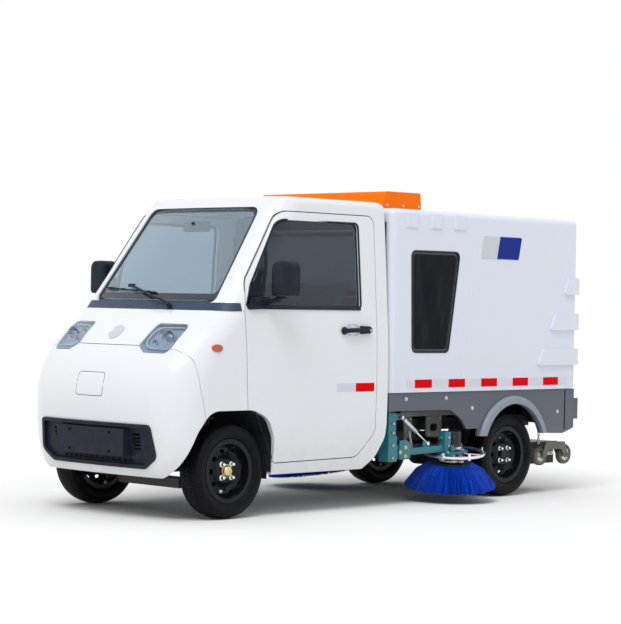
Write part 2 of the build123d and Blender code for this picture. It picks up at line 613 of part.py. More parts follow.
with BuildPart() as brush_bracket:
    post_middle = front_y(POST_BEHIND_AXLE)
    add(block((POST_X - 26, POST_X + 26), (post_middle - BEARER_WIDTH / 2, post_middle + BEARER_WIDTH / 2),
              (POST_TOP_Z + 6, STANDOFF_TOP_Z)))
    add(rod((POST_X, post_middle, POST_FOOT_Z + 4), (POST_X, post_middle, POST_TOP_Z + 10), POST_PIN_RADIUS))
save(both_sides(brush_bracket.part), "brush_brackets")

BATTERY = ((-200, 200), (1400, 1960), (335, 520))
save(block(BATTERY[0], (front_y(BATTERY[1][0]), front_y(BATTERY[1][1])), BATTERY[2], 12), "battery_pack")

# ---------------------------------------------------------------- wheels
# Half section of a tyre: distance from its middle plane and radius.
TYRE_HALF_SECTION = ((53, BEAD_RADIUS), (53, RIM_FLANGE_RADIUS + 2), (75, 202), (73, 229), (55, 248),
                     (0, TYRE_RADIUS))
RIM_HALF_WIDTH = 52
DISC_OFFSET = 34            # the wheel disc's outer face, outward of the middle plane
DISC_THICKNESS = 7
HUB_FACE_RADIUS = 62
VENT_COUNT = 10
VENT_CIRCLE = 112
NUT_CIRCLE = 50
NUT_COUNT = 4


def wheel_plane_at(side, axle_y):
    """Plane through a wheel's middle, its x pointing outward and its y up."""
    return Plane(origin=(side * TRACK_HALF, axle_y, AXLE_Z), x_dir=(side, 0, 0), z_dir=(0, -side, 0))


def wheel_axis_at(side, axle_y):
    """The line that a wheel turns about."""
    return Axis((side * TRACK_HALF, axle_y, AXLE_Z), (side, 0, 0))


def make_tyre(side, axle_y):
    """A tyre with its bulged walls, as one turned ring."""
    far_half = [(-width, radius) for width, radius in reversed(TYRE_HALF_SECTION[:-1])]
    with BuildPart() as tyre:
        with BuildSketch(wheel_plane_at(side, axle_y)):
            with BuildLine():
                Polyline(*TYRE_HALF_SECTION, *far_half, close=True)
            make_face()
        revolve(axis=wheel_axis_at(side, axle_y))
    return tyre.part


def make_rim(side, axle_y):
    """A pressed steel rim: barrel, flanges and a dished, vented disc with its nuts and cap."""
    barrel = BEAD_RADIUS - 0.5
    with BuildPart() as rim:
        with BuildSketch(wheel_plane_at(side, axle_y)):
            with BuildLine():
                Polyline((-RIM_HALF_WIDTH - 6, RIM_FLANGE_RADIUS), (-RIM_HALF_WIDTH - 6, barrel - RIM_WALL),
                         (-10, barrel - RIM_WALL - 8), (10, barrel - RIM_WALL - 8),
                         (RIM_HALF_WIDTH + 6, barrel - RIM_WALL), (RIM_HALF_WIDTH + 6, RIM_FLANGE_RADIUS),
                         (RIM_HALF_WIDTH + 2, RIM_FLANGE_RADIUS), (RIM_HALF_WIDTH + 2, barrel),
                         (10, barrel - 8), (-10, barrel - 8),
                         (-RIM_HALF_WIDTH - 2, barrel), (-RIM_HALF_WIDTH - 2, RIM_FLANGE_RADIUS), close=True)
            make_face()
            with BuildLine():
                Polyline((DISC_OFFSET, HUB_BORE_RADIUS), (DISC_OFFSET, HUB_FACE_RADIUS),
                         (DISC_OFFSET - 16, 78), (DISC_OFFSET + 8, 104),
                         (DISC_OFFSET - 8, barrel - RIM_WALL - 3),
                         (DISC_OFFSET - 8 - DISC_THICKNESS, barrel - RIM_WALL - 3),
                         (DISC_OFFSET + 8 - DISC_THICKNESS, 104), (DISC_OFFSET - 16 - DISC_THICKNESS, 78),
                         (DISC_OFFSET - DISC_THICKNESS, HUB_FACE_RADIUS),
                         (DISC_OFFSET - DISC_THICKNESS, HUB_BORE_RADIUS), close=True)
            make_face()
            with BuildLine():
                Polyline((DISC_OFFSET + 12, 0), (DISC_OFFSET + 12, HUB_BORE_RADIUS - 4),
                         (DISC_OFFSET - 2, HUB_BORE_RADIUS + 1), (DISC_OFFSET - 5, HUB_BORE_RADIUS + 1),
                         (DISC_OFFSET - 5, 0), close=True)
            make_face()
        revolve(axis=wheel_axis_at(side, axle_y))
        vent_plane = Plane(origin=(side * (TRACK_HALF - 20), axle_y, AXLE_Z), x_dir=(0, 1, 0),
                           z_dir=(side, 0, 0))
        with BuildSketch(vent_plane):
            with PolarLocations(VENT_CIRCLE, VENT_COUNT):
                SlotOverall(30, 17, rotation=90)
        extrude(amount=80, mode=Mode.SUBTRACT)
        nut_plane = Plane(origin=(side * (TRACK_HALF + DISC_OFFSET - 1), axle_y, AXLE_Z), x_dir=(0, 1, 0),
                          z_dir=(side, 0, 0))
        with BuildSketch(nut_plane):
            with PolarLocations(NUT_CIRCLE, NUT_COUNT, start_angle=45):
                RegularPolygon(9, 6)
        extrude(amount=16)
    return rim.part


WHEELS = (("front_left", 1, FRONT_AXLE_Y), ("front_right", -1, FRONT_AXLE_Y),
          ("rear_left", 1, REAR_AXLE_Y), ("rear_right", -1, REAR_AXLE_Y))
for place, side, axle_y in WHEELS:
    save(make_tyre(side, axle_y), "tyre_" + place)
    save(make_rim(side, axle_y), "rim_" + place)

# ---------------------------------------------------------------- front axle
KINGPIN_X = 455
ARM_LOW_Z = 172
ARM_HIGH_Z = 336
ARM_THICKNESS = 16
ARM_END_X = 463             # outer end of both arms, just past the kingpin
KINGPIN_RADIUS = 14
PIN_GAP = 1.5
HUB_END_X = TRACK_HALF + DISC_OFFSET - DISC_THICKNESS - 1
TIE_ROD_BEHIND = 105
TIE_ROD_Z = 205


def make_knuckle():
    """The left knuckle: an upright between the two arms, with its stub axle and steering arm."""
    with BuildPart() as knuckle:
        pin_low_z = ARM_LOW_Z + ARM_THICKNESS / 2 + PIN_GAP
        pin_high_z = ARM_HIGH_Z - ARM_THICKNESS / 2 - PIN_GAP
        add(block((KINGPIN_X - 20, KINGPIN_X + 20), (FRONT_AXLE_Y - 24, FRONT_AXLE_Y + 24),
                  (pin_low_z + 10, pin_high_z - 10)))
        add(rod((KINGPIN_X, FRONT_AXLE_Y, pin_low_z), (KINGPIN_X, FRONT_AXLE_Y, pin_high_z), KINGPIN_RADIUS))
        add(rod((KINGPIN_X, FRONT_AXLE_Y, AXLE_Z), (HUB_END_X, FRONT_AXLE_Y, AXLE_Z), 24))
        add(rod((KINGPIN_X + 20, FRONT_AXLE_Y, AXLE_Z), (KINGPIN_X + 45, FRONT_AXLE_Y, AXLE_Z), 92))
        add(block((KINGPIN_X - 16, KINGPIN_X + 10), (FRONT_AXLE_Y, FRONT_AXLE_Y + TIE_ROD_BEHIND + 14),
                  (TIE_ROD_Z + 9, TIE_ROD_Z + 23)))
    return knuckle.part


knuckle_left = make_knuckle()
save(knuckle_left, "knuckle_left")
save(mirror(knuckle_left, about=Plane.YZ), "knuckle_right")

STRUT_X = 368
TOWER_X = ARCH_INNER_X + LINER_WALL + 1
TOWER_TOP_Z = 530
with BuildPart() as suspension_side:
    for start_x, z in ((RAIL_OUTER_X - 6, ARM_LOW_Z), (TOWER_X + 4, ARM_HIGH_Z)):
        add(block((start_x, ARM_END_X), (FRONT_AXLE_Y - 14, FRONT_AXLE_Y + 14),
                  (z - ARM_THICKNESS / 2, z + ARM_THICKNESS / 2)))
    add(block((TOWER_X, TOWER_X + 10), (FRONT_AXLE_Y - 85, FRONT_AXLE_Y + 85),
              (ARM_LOW_Z - ARM_THICKNESS / 2, TOWER_TOP_Z)))
    add(block((TOWER_X, STRUT_X + 30), (FRONT_AXLE_Y - 45, FRONT_AXLE_Y + 45),
              (TOWER_TOP_Z - 10, TOWER_TOP_Z)))
    add(rod((STRUT_X, FRONT_AXLE_Y, ARM_HIGH_Z), (STRUT_X, FRONT_AXLE_Y, TOWER_TOP_Z - 5), 22))
front_suspension = joined(suspension_side.part, mirror(suspension_side.part, about=Plane.YZ),
                          block((-RAIL_INNER_X, RAIL_INNER_X), (FRONT_AXLE_Y - 60, FRONT_AXLE_Y + 60),
                                (ARM_LOW_Z - 30, ARM_LOW_Z + 20)),
                          block((-RAIL_OUTER_X - 5, RAIL_OUTER_X + 5), (FRONT_AXLE_Y - 30, FRONT_AXLE_Y + 30),
                                (ARM_LOW_Z - ARM_THICKNESS / 2, ARM_LOW_Z + ARM_THICKNESS / 2)))
save(front_suspension, "front_suspension")

# ---------------------------------------------------------------- rear axle and springs
AXLE_TUBE_RADIUS = 34
DRUM_X = (TRACK_HALF - 60, HUB_END_X)
SPRING_X = RAIL_X
SPRING_WIDTH = 50
SPRING_HALF_LENGTH = 380
SPRING_LEAF = 26
with BuildPart() as rear_side:
    add(rod((0, REAR_AXLE_Y, AXLE_Z), (DRUM_X[1], REAR_AXLE_Y, AXLE_Z), AXLE_TUBE_RADIUS - 10))
    add(rod((0, REAR_AXLE_Y, AXLE_Z), (DRUM_X[0] + 5, REAR_AXLE_Y, AXLE_Z), AXLE_TUBE_RADIUS))
    add(rod((DRUM_X[0], REAR_AXLE_Y, AXLE_Z), (DRUM_X[0] + 32, REAR_AXLE_Y, AXLE_Z), 95))
    with BuildSketch(Plane.YZ.offset(SPRING_X - SPRING_WIDTH / 2)):
        with BuildLine():
            low = AXLE_Z + AXLE_TUBE_RADIUS - 4
            ends = RAIL_REAR_Z - SPRING_LEAF
            ThreePointArc((REAR_AXLE_Y - SPRING_HALF_LENGTH, ends), (REAR_AXLE_Y, low),
                          (REAR_AXLE_Y + SPRING_HALF_LENGTH, ends))
            Line((REAR_AXLE_Y + SPRING_HALF_LENGTH, ends), (REAR_AXLE_Y + SPRING_HALF_LENGTH, RAIL_REAR_Z))
            ThreePointArc((REAR_AXLE_Y + SPRING_HALF_LENGTH, RAIL_REAR_Z), (REAR_AXLE_Y, low + SPRING_LEAF),
                          (REAR_AXLE_Y - SPRING_HALF_LENGTH, RAIL_REAR_Z))
            Line((REAR_AXLE_Y - SPRING_HALF_LENGTH, RAIL_REAR_Z), (REAR_AXLE_Y - SPRING_HALF_LENGTH, ends))
        make_face()
    extrude(amount=SPRING_WIDTH)
MOTOR_RADIUS = 105
rear_suspension = joined(rear_side.part, mirror(rear_side.part, about=Plane.YZ),
                         rod((-150, REAR_AXLE_Y, AXLE_Z), (130, REAR_AXLE_Y, AXLE_Z), MOTOR_RADIUS))
save(rear_suspension, "rear_suspension")

# ---------------------------------------------------------------- side brushes
HINGE_BEHIND_AXLE = 1372
HINGE_Z = 300
HINGE_PIN_RADIUS = 8
HEAD_X = 580
HEAD_BEHIND_AXLE = 1800
HEAD_Z = 226                # top of the brush disc
HEAD_CANT = 7               # degrees that the brush leans outward and forward
LEAN = (sin(radians(HEAD_CANT)) * 0.69, -sin(radians(HEAD_CANT)) * 0.72, cos(radians(HEAD_CANT)))
DISC_RADIUS = 160
BRISTLE_TOP_RADIUS = 154
BRISTLE_TIP_RADIUS = 268
BRISTLE_LENGTH = 126
BRISTLE_HOLLOW = 30         # how deep below the disc the hollow inside the bristles starts
TUFT_COUNT = 40
TUFT_GAP = 6
TUFT_SPLIT = 60
RING_RADIUS = 176
RING_TUBE = 9
head_plane = Plane(origin=(HEAD_X, front_y(HEAD_BEHIND_AXLE), HEAD_Z), x_dir=(1, 0, 0), z_dir=LEAN)
POST_HALF = 32
SLEEVE_HALF = POST_HALF + 5
post_y = front_y(POST_BEHIND_AXLE)
hinge_y = front_y(HINGE_BEHIND_AXLE)

with BuildPart() as brush_post:
    add(block((POST_X - POST_HALF, POST_X + POST_HALF), (post_y - POST_HALF, post_y + POST_HALF),
              (POST_FOOT_Z, POST_TOP_Z)))
    add(block((POST_X - SLEEVE_HALF, POST_X + SLEEVE_HALF), (post_y - SLEEVE_HALF, post_y + SLEEVE_HALF),
              (POST_FOOT_Z, POST_FOOT_Z + 145)))
    add(block((POST_X - 16, POST_X + 16), (post_y, post_y + 100), (POST_TOP_Z - 42, POST_TOP_Z - 6)))
    for offset_x in (-29, 19):
        add(block((POST_X + offset_x, POST_X + offset_x + 10), (post_y + POST_HALF, hinge_y + 24),
                  (HINGE_Z - 34, HINGE_Z + 42)))
    add(rod((POST_X - 30, hinge_y, HINGE_Z), (POST_X + 30, hinge_y, HINGE_Z), HINGE_PIN_RADIUS))
    with Locations((POST_X, post_y, POST_TOP_Z)):
        Hole(POST_PIN_RADIUS + 1.5)
save(brush_post.part, "brush_post_left")
save(mirror(brush_post.part, about=Plane.YZ), "brush_post_right")

ARM_END = head_plane.from_local_coords((0, -60, 96))
with BuildPart() as brush_arm:
    add(rod((POST_X - 13, hinge_y, HINGE_Z), (POST_X + 13, hinge_y, HINGE_Z), 20))
    arm_path = Vector(ARM_END.X, ARM_END.Y, ARM_END.Z) - Vector(POST_X, hinge_y, HINGE_Z)
    arm_plane = Plane(origin=(POST_X, hinge_y, HINGE_Z), x_dir=(1, 0, 0), z_dir=arm_path)
    with BuildSketch(arm_plane):
        Rectangle(26, 40)
    extrude(amount=60)
    with BuildSketch(arm_plane.offset(40)):
        Rectangle(40, 40)
    extrude(amount=arm_path.length - 40)
    with BuildSketch(head_plane.offset(66)):
        with Locations((0, 5)):
            Rectangle(120, 170)
    extrude(amount=12)
    with BuildSketch(head_plane.offset(14)):
        with Locations((0, 0)):
            Rectangle(92, 92)
    extrude(amount=56)
    with BuildSketch(head_plane.offset(70)):
        with Locations((0, 20)):
            Circle(44)
    extrude(amount=120)
    with Locations(head_plane.offset(56).offset(0)):
        with Locations((0, 30, 0)):
            Torus(RING_RADIUS, RING_TUBE)
    with BuildSketch(head_plane.offset(50)):
        with Locations((0, 30)):
            Rectangle(2 * RING_RADIUS, 16)
            Rectangle(16, 2 * RING_RADIUS)
    extrude(amount=12)
    add(rod((POST_X - 60, hinge_y, HINGE_Z), (POST_X + 60, hinge_y, HINGE_Z), HINGE_PIN_RADIUS + 1),
        mode=Mode.SUBTRACT)
save(brush_arm.part, "brush_arm_left")
save(mirror(brush_arm.part, about=Plane.YZ), "brush_arm_right")

with BuildPart() as brush_rotor:
    with BuildSketch(head_plane.offset(-14)):
        Circle(DISC_RADIUS)
    extrude(amount=14)
    with BuildSketch(head_plane.offset(-14)):
        Circle(BRISTLE_TOP_RADIUS)
    with BuildSketch(head_plane.offset(-14 - BRISTLE_LENGTH)):
        Circle(BRISTLE_TIP_RADIUS)
    loft()
    with BuildSketch(head_plane.offset(-14 - BRISTLE_LENGTH)):
        Circle(BRISTLE_TIP_RADIUS - 40)
    with BuildSketch(head_plane.offset(-14 - BRISTLE_HOLLOW)):
        Circle(BRISTLE_TOP_RADIUS - 60)
    loft(mode=Mode.SUBTRACT)
    with BuildSketch(head_plane.offset(-14 - BRISTLE_LENGTH)):
        with PolarLocations(BRISTLE_TIP_RADIUS, TUFT_COUNT):
            Rectangle(2 * TUFT_SPLIT, TUFT_GAP)
    extrude(amount=TUFT_SPLIT, mode=Mode.SUBTRACT)
    with BuildSketch(head_plane):
        Circle(24)
    extrude(amount=8)
save(brush_rotor.part, "brush_rotor_left")
save(mirror(brush_rotor.part, about=Plane.YZ), "brush_rotor_right")

# ---------------------------------------------------------------- suction nozzle
NOZZLE_X = 455
NOZZLE_Y = (2625, 2960)
NOZZLE_Z = (190, 308)
NOZZLE_WALL = 8
CASTER_RADIUS = 62
CASTER_Y = (2700, 2944)
CASTER_Z = 232
CASTER_PIN_RADIUS = 8
CASTER_X = (522, 558)
BOGIE_X = (564, 572)
BOGIE_INNER_X = (508, 516)
DUCT_X = 150
DUCT_Y = (2640, 2790)
DUCT_GAP = 8
DUCT_LOW_Z = 400
with BuildPart() as suction_nozzle:
    add(block((-NOZZLE_X, NOZZLE_X), (front_y(NOZZLE_Y[0]), front_y(NOZZLE_Y[1])), NOZZLE_Z, 10))
    add(block((-DUCT_X, DUCT_X), (front_y(DUCT_Y[0]), front_y(DUCT_Y[1])), (NOZZLE_Z[1] - 10, 600)))
    add(block((-NOZZLE_X + NOZZLE_WALL, NOZZLE_X - NOZZLE_WALL),
              (front_y(NOZZLE_Y[0]) + NOZZLE_WALL, front_y(NOZZLE_Y[1]) - NOZZLE_WALL),
              (NOZZLE_Z[0] - 10, NOZZLE_Z[1] - NOZZLE_WALL)), mode=Mode.SUBTRACT)
    add(block((-DUCT_X + NOZZLE_WALL, DUCT_X - NOZZLE_WALL),
              (front_y(DUCT_Y[0]) + NOZZLE_WALL, front_y(DUCT_Y[1]) - NOZZLE_WALL), (250, 700)),
        mode=Mode.SUBTRACT)
    caster_mid = (CASTER_Y[0] + CASTER_Y[1]) / 2
    bogie_outline = ((CASTER_Y[0] - 20, CASTER_Z - 20), (CASTER_Y[0] + 20, CASTER_Z - 20),
                     (CASTER_Y[0] + 62, CASTER_Z + 36), (CASTER_Y[1] - 62, CASTER_Z + 36),
                     (CASTER_Y[1] - 20, CASTER_Z - 20), (CASTER_Y[1] + 20, CASTER_Z - 20),
                     (CASTER_Y[1] - 28, CASTER_Z + 82), (CASTER_Y[0] + 28, CASTER_Z + 82))
    for x_range in (BOGIE_X, BOGIE_INNER_X):
        plate = side_slab(bogie_outline, 14, *x_range)
        add(plate)
        add(mirror(plate, about=Plane.YZ))
    for side in (-1, 1):
        for y in CASTER_Y:
            add(rod((side * BOGIE_INNER_X[0], front_y(y), CASTER_Z),
                    (side * (BOGIE_X[1] + 6), front_y(y), CASTER_Z), CASTER_PIN_RADIUS))
        add(rod((side * (NOZZLE_X - 10), front_y(caster_mid), CASTER_Z + 58),
                (side * BOGIE_X[1], front_y(caster_mid), CASTER_Z + 58), 16))
save(suction_nozzle.part, "suction_nozzle")

with BuildPart() as suction_duct:
    outer = DUCT_X + DUCT_GAP + 6
    add(block((-outer, outer), (front_y(DUCT_Y[0]) - DUCT_GAP - 6, front_y(DUCT_Y[1]) + DUCT_GAP + 6),
              (DUCT_LOW_Z, BOX_BOTTOM_Z)))
    inner = DUCT_X + DUCT_GAP
    add(block((-inner, inner), (front_y(DUCT_Y[0]) - DUCT_GAP, front_y(DUCT_Y[1]) + DUCT_GAP),
              (DUCT_LOW_Z - 10, BOX_BOTTOM_Z + 10)), mode=Mode.SUBTRACT)
save(suction_duct.part, "suction_duct")

for place, side, y in (("front_left", 1, CASTER_Y[0]), ("front_right", -1, CASTER_Y[0]),
                       ("rear_left", 1, CASTER_Y[1]), ("rear_right", -1, CASTER_Y[1])):
    with BuildPart() as caster:
        start = (side * CASTER_X[0], front_y(y), CASTER_Z)
        with BuildSketch(Plane(origin=start, x_dir=(0, 1, 0), z_dir=(side, 0, 0))):
            Circle(CASTER_RADIUS)
            Circle(CASTER_PIN_RADIUS + 2, mode=Mode.SUBTRACT)
        extrude(amount=CASTER_X[1] - CASTER_X[0])
    save(caster.part, "caster_" + place)
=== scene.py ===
"""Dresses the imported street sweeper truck: finishes, glazing, trim, tyres, brushes, seats and studio.

Metres, in the truck's own frame: the front faces -Y, the driver's left is +X, +Z is up.
"""

import logging
import math
import random
from dataclasses import dataclass
from enum import Enum
from typing import Callable, Optional, Sequence

import bmesh
import bpy
from mathutils import Matrix, Vector
from mathutils.bvhtree import BVHTree


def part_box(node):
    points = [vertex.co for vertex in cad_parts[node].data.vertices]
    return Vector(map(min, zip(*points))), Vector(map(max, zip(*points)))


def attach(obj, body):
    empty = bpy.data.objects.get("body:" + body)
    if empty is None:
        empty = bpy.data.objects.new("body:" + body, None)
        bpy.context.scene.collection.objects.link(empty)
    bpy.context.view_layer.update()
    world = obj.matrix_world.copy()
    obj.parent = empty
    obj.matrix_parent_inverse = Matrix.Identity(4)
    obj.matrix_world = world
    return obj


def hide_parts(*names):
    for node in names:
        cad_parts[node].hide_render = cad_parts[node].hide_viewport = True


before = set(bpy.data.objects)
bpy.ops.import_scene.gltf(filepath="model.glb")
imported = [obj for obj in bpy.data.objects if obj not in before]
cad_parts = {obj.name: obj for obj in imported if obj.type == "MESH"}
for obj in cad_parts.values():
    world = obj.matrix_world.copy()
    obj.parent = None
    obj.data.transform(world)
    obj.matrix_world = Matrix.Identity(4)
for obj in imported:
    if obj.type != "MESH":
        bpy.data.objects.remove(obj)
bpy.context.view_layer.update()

log = logging.getLogger("sweeper")

Colour = tuple[float, float, float]
Point = Sequence[float]
Outline = Sequence[tuple[float, float]]
Socket = bpy.types.NodeSocket
Node = bpy.types.Node
Group = bpy.types.NodeTree
Thing = bpy.types.Object

X_AXIS = Vector((1, 0, 0))
Y_AXIS = Vector((0, 1, 0))
Z_AXIS = Vector((0, 0, 1))
# Where rays toward the truck start: X on its left, and distances behind its front.
OUTSIDE = 0.95
AHEAD = -0.9
BEYOND = 3.3
# Corners and corner radius of the pane behind the seats.
REAR_PANE = ((-0.430, 1.200), (0.430, 1.560), 0.045)


class Side(Enum):
    """A side of the truck, with the sign of its X."""

    LEFT = 1
    RIGHT = -1


class View(Enum):
    """A way to look at the truck, for laying trim on it."""

    LEFT = "left"
    FRONT = "front"
    REAR = "rear"


class Slot(Enum):
    """The record's material slots."""

    WHITE_PAINT = "white_paint"
    GREY_PAINT = "grey_paint"
    ORANGE_PAINT = "orange_paint"
    TEAL_PAINT = "teal_paint"
    FRAME_PAINT = "frame_paint"
    AXLE_IRON = "axle_iron"
    RIM_PAINT = "rim_paint"
    TYRE = "tyre"
    CLEAR_GLASS = "clear_glass"
    DARK_GLASS = "dark_glass"
    LENS = "lens"
    AMBER_LENS = "amber_lens"
    RED_LENS = "red_lens"
    BLACK_PLASTIC = "black_plastic"
    DASH_PLASTIC = "dash_plastic"
    SEAT_CLOTH = "seat_cloth"
    BRISTLE = "bristle"
    CASTER_RUBBER = "caster_rubber"
    NOZZLE_PAINT = "nozzle_paint"
    BATTERY_CASE = "battery_case"
    BRIGHT_STEEL = "bright_steel"
    CHROME_PLATE = "chrome_plate"
    BRASS_CAP = "brass_cap"
    RED_TAPE = "red_tape"
    WHITE_TAPE = "white_tape"
    BLUE_PLATE = "blue_plate"
    BLACK_RUBBER = "black_rubber"
    MIRROR_FACE = "mirror_face"


# ------------------------------------------------------------------ places and outlines
def middle(node: str) -> Vector:
    """Centre of a CAD node's box."""
    low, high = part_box(node)
    return (low + high) / 2


FRONT_AXLE = middle("tyre_front_left")
REAR_AXLE = middle("tyre_rear_left")


def behind(distance: float) -> float:
    """Y of a place that lies the given distance behind the front axle."""
    return FRONT_AXLE.y + distance


def from_display(red: int, green: int, blue: int) -> Colour:
    """Turns display levels from 0 to 255 into the linear colour that shaders take."""
    return tuple(((level / 255 + 0.055) / 1.055) ** 2.4 for level in (red, green, blue))


def placed_at(origin: Point, axis: Point = (0, 0, 1),
              across: Point = (1, 0, 0)) -> Matrix:
    """Gives the place of a local frame.

    Args:
        origin: Where the local origin stands.
        axis: The direction of local Z.
        across: The direction that local X keeps to, as far as Z lets it.

    Returns:
        The matrix from local to truck coordinates.
    """
    up = Vector(axis).normalized()
    side = Vector(across) - up * up.dot(Vector(across))
    if side.length < 1e-4:
        side = up.orthogonal()
    side.normalize()
    turn = Matrix((side, up.cross(side), up)).transposed().to_4x4()
    return Matrix.Translation(Vector(origin)) @ turn


def spun(angle: float) -> Matrix:
    """A turn about local Z, in radians."""
    return Matrix.Rotation(angle, 4, "Z")


def facing_side(x: float) -> Matrix:
    """Place of a drawing in (y, z) that faces the left at the given x."""
    return placed_at((x, 0, 0), X_AXIS, Y_AXIS)


def facing_front(y: float) -> Matrix:
    """Place of a drawing in (x, z) that faces the front at the given y."""
    return placed_at((0, y, 0), -Y_AXIS, X_AXIS)


def facing_rear(y: float) -> Matrix:
    """Place of a drawing in (-x, z) that faces the rear at the given y."""
    return placed_at((0, y, 0), Y_AXIS, -X_AXIS)


def seen_from_side(points: Outline) -> list[tuple[float, float]]:
    """Turns (distance behind the front axle, z) corners into (y, z) corners."""
    return [(behind(distance), z) for distance, z in points]


def spot(x: float, distance: float, z: float) -> Vector:
    """A place at x and z, the given distance behind the front axle."""
    return Vector((x, behind(distance), z))


def grown(points: Outline, amount: float) -> list[tuple[float, float]]:
    """Moves every side of a closed outline outward, or inward for an amount below zero.

    Args:
        points: The corners in order.
        amount: How far each side moves, in metres.

    Returns:
        The corners of the moved outline.
    """
    corners = [Vector(point) for point in points]
    area = sum(a.x * b.y - b.x * a.y for a, b in zip(corners, corners[1:] + corners[:1]))
    sign = 1 if area > 0 else -1
    moved = []
    for index, corner in enumerate(corners):
        before = (corner - corners[index - 1]).normalized()
        after = (corners[(index + 1) % len(corners)] - corner).normalized()
        first = Vector((before.y, -before.x)) * sign
        second = Vector((after.y, -after.x)) * sign
        place = corner + (first + second) / (1 + first.dot(second)) * amount
        moved.append((place.x, place.y))
    return moved


def rounded(points: Outline, radii: Point, steps: int = 5) -> list[tuple[float, float]]:
    """Rounds the corners of a closed outline with arcs.

    Args:
        points: The corners in order.
        radii: One radius for each corner.
        steps: Straight pieces in each arc.

    Returns:
        The points of the rounded outline.
    """
    corners = [Vector(point) for point in points]
    outline = []
    for index, (corner, radius) in enumerate(zip(corners, radii)):
        back = (corners[index - 1] - corner).normalized()
        ahead = (corners[(index + 1) % len(corners)] - corner).normalized()
        half = back.angle(ahead) / 2
        centre = corner + (back + ahead).normalized() * (radius / math.sin(half))
        start = corner + back * (radius / math.tan(half)) - centre
        turn = math.pi - 2 * half
        if back.x * ahead.y - back.y * ahead.x > 0:
            turn = -turn
        for step in range(steps + 1):
            angle = turn * step / steps
            outline.append((centre.x + start.x * math.cos(angle) - start.y * math.sin(angle),
                            centre.y + start.x * math.sin(angle) + start.y * math.cos(angle)))
    return outline


def side_line(corners: Outline, radii: Sequence[float] = (), steps: int = 5) -> list[tuple[float, float]]:
    """Turns (distance behind the front axle, z) corners into a (y, z) outline, rounded where radii are given."""
    line = seen_from_side(corners)
    return rounded(line, radii, steps) if radii else line


def side_box(start: float, end: float, low: float, high: float) -> list[tuple[float, float]]:
    """The (y, z) outline of a rectangle between two distances behind the front axle and two heights."""
    return side_line(((start, low), (end, low), (end, high), (start, high)))


def rectangle(low: Point, high: Point, radius: float) -> list[tuple[float, float]]:
    """A rounded rectangle between two corners."""
    return rounded(((low[0], low[1]), (high[0], low[1]), (high[0], high[1]), (low[0], high[1])), [radius] * 4)


def within(point: Vector, outline: Outline) -> bool:
    """Whether a point lies inside a convex outline.

    Args:
        point: The point, of which X and Y count.
        outline: The outline's corners in order.

    Returns:
        True when the point lies inside.
    """
    signs = [(b[0] - a[0]) * (point.y - a[1]) - (b[1] - a[1]) * (point.x - a[0])
             for a, b in zip(outline, list(outline[1:]) + [outline[0]])]
    return all(value > 0 for value in signs) or all(value < 0 for value in signs)


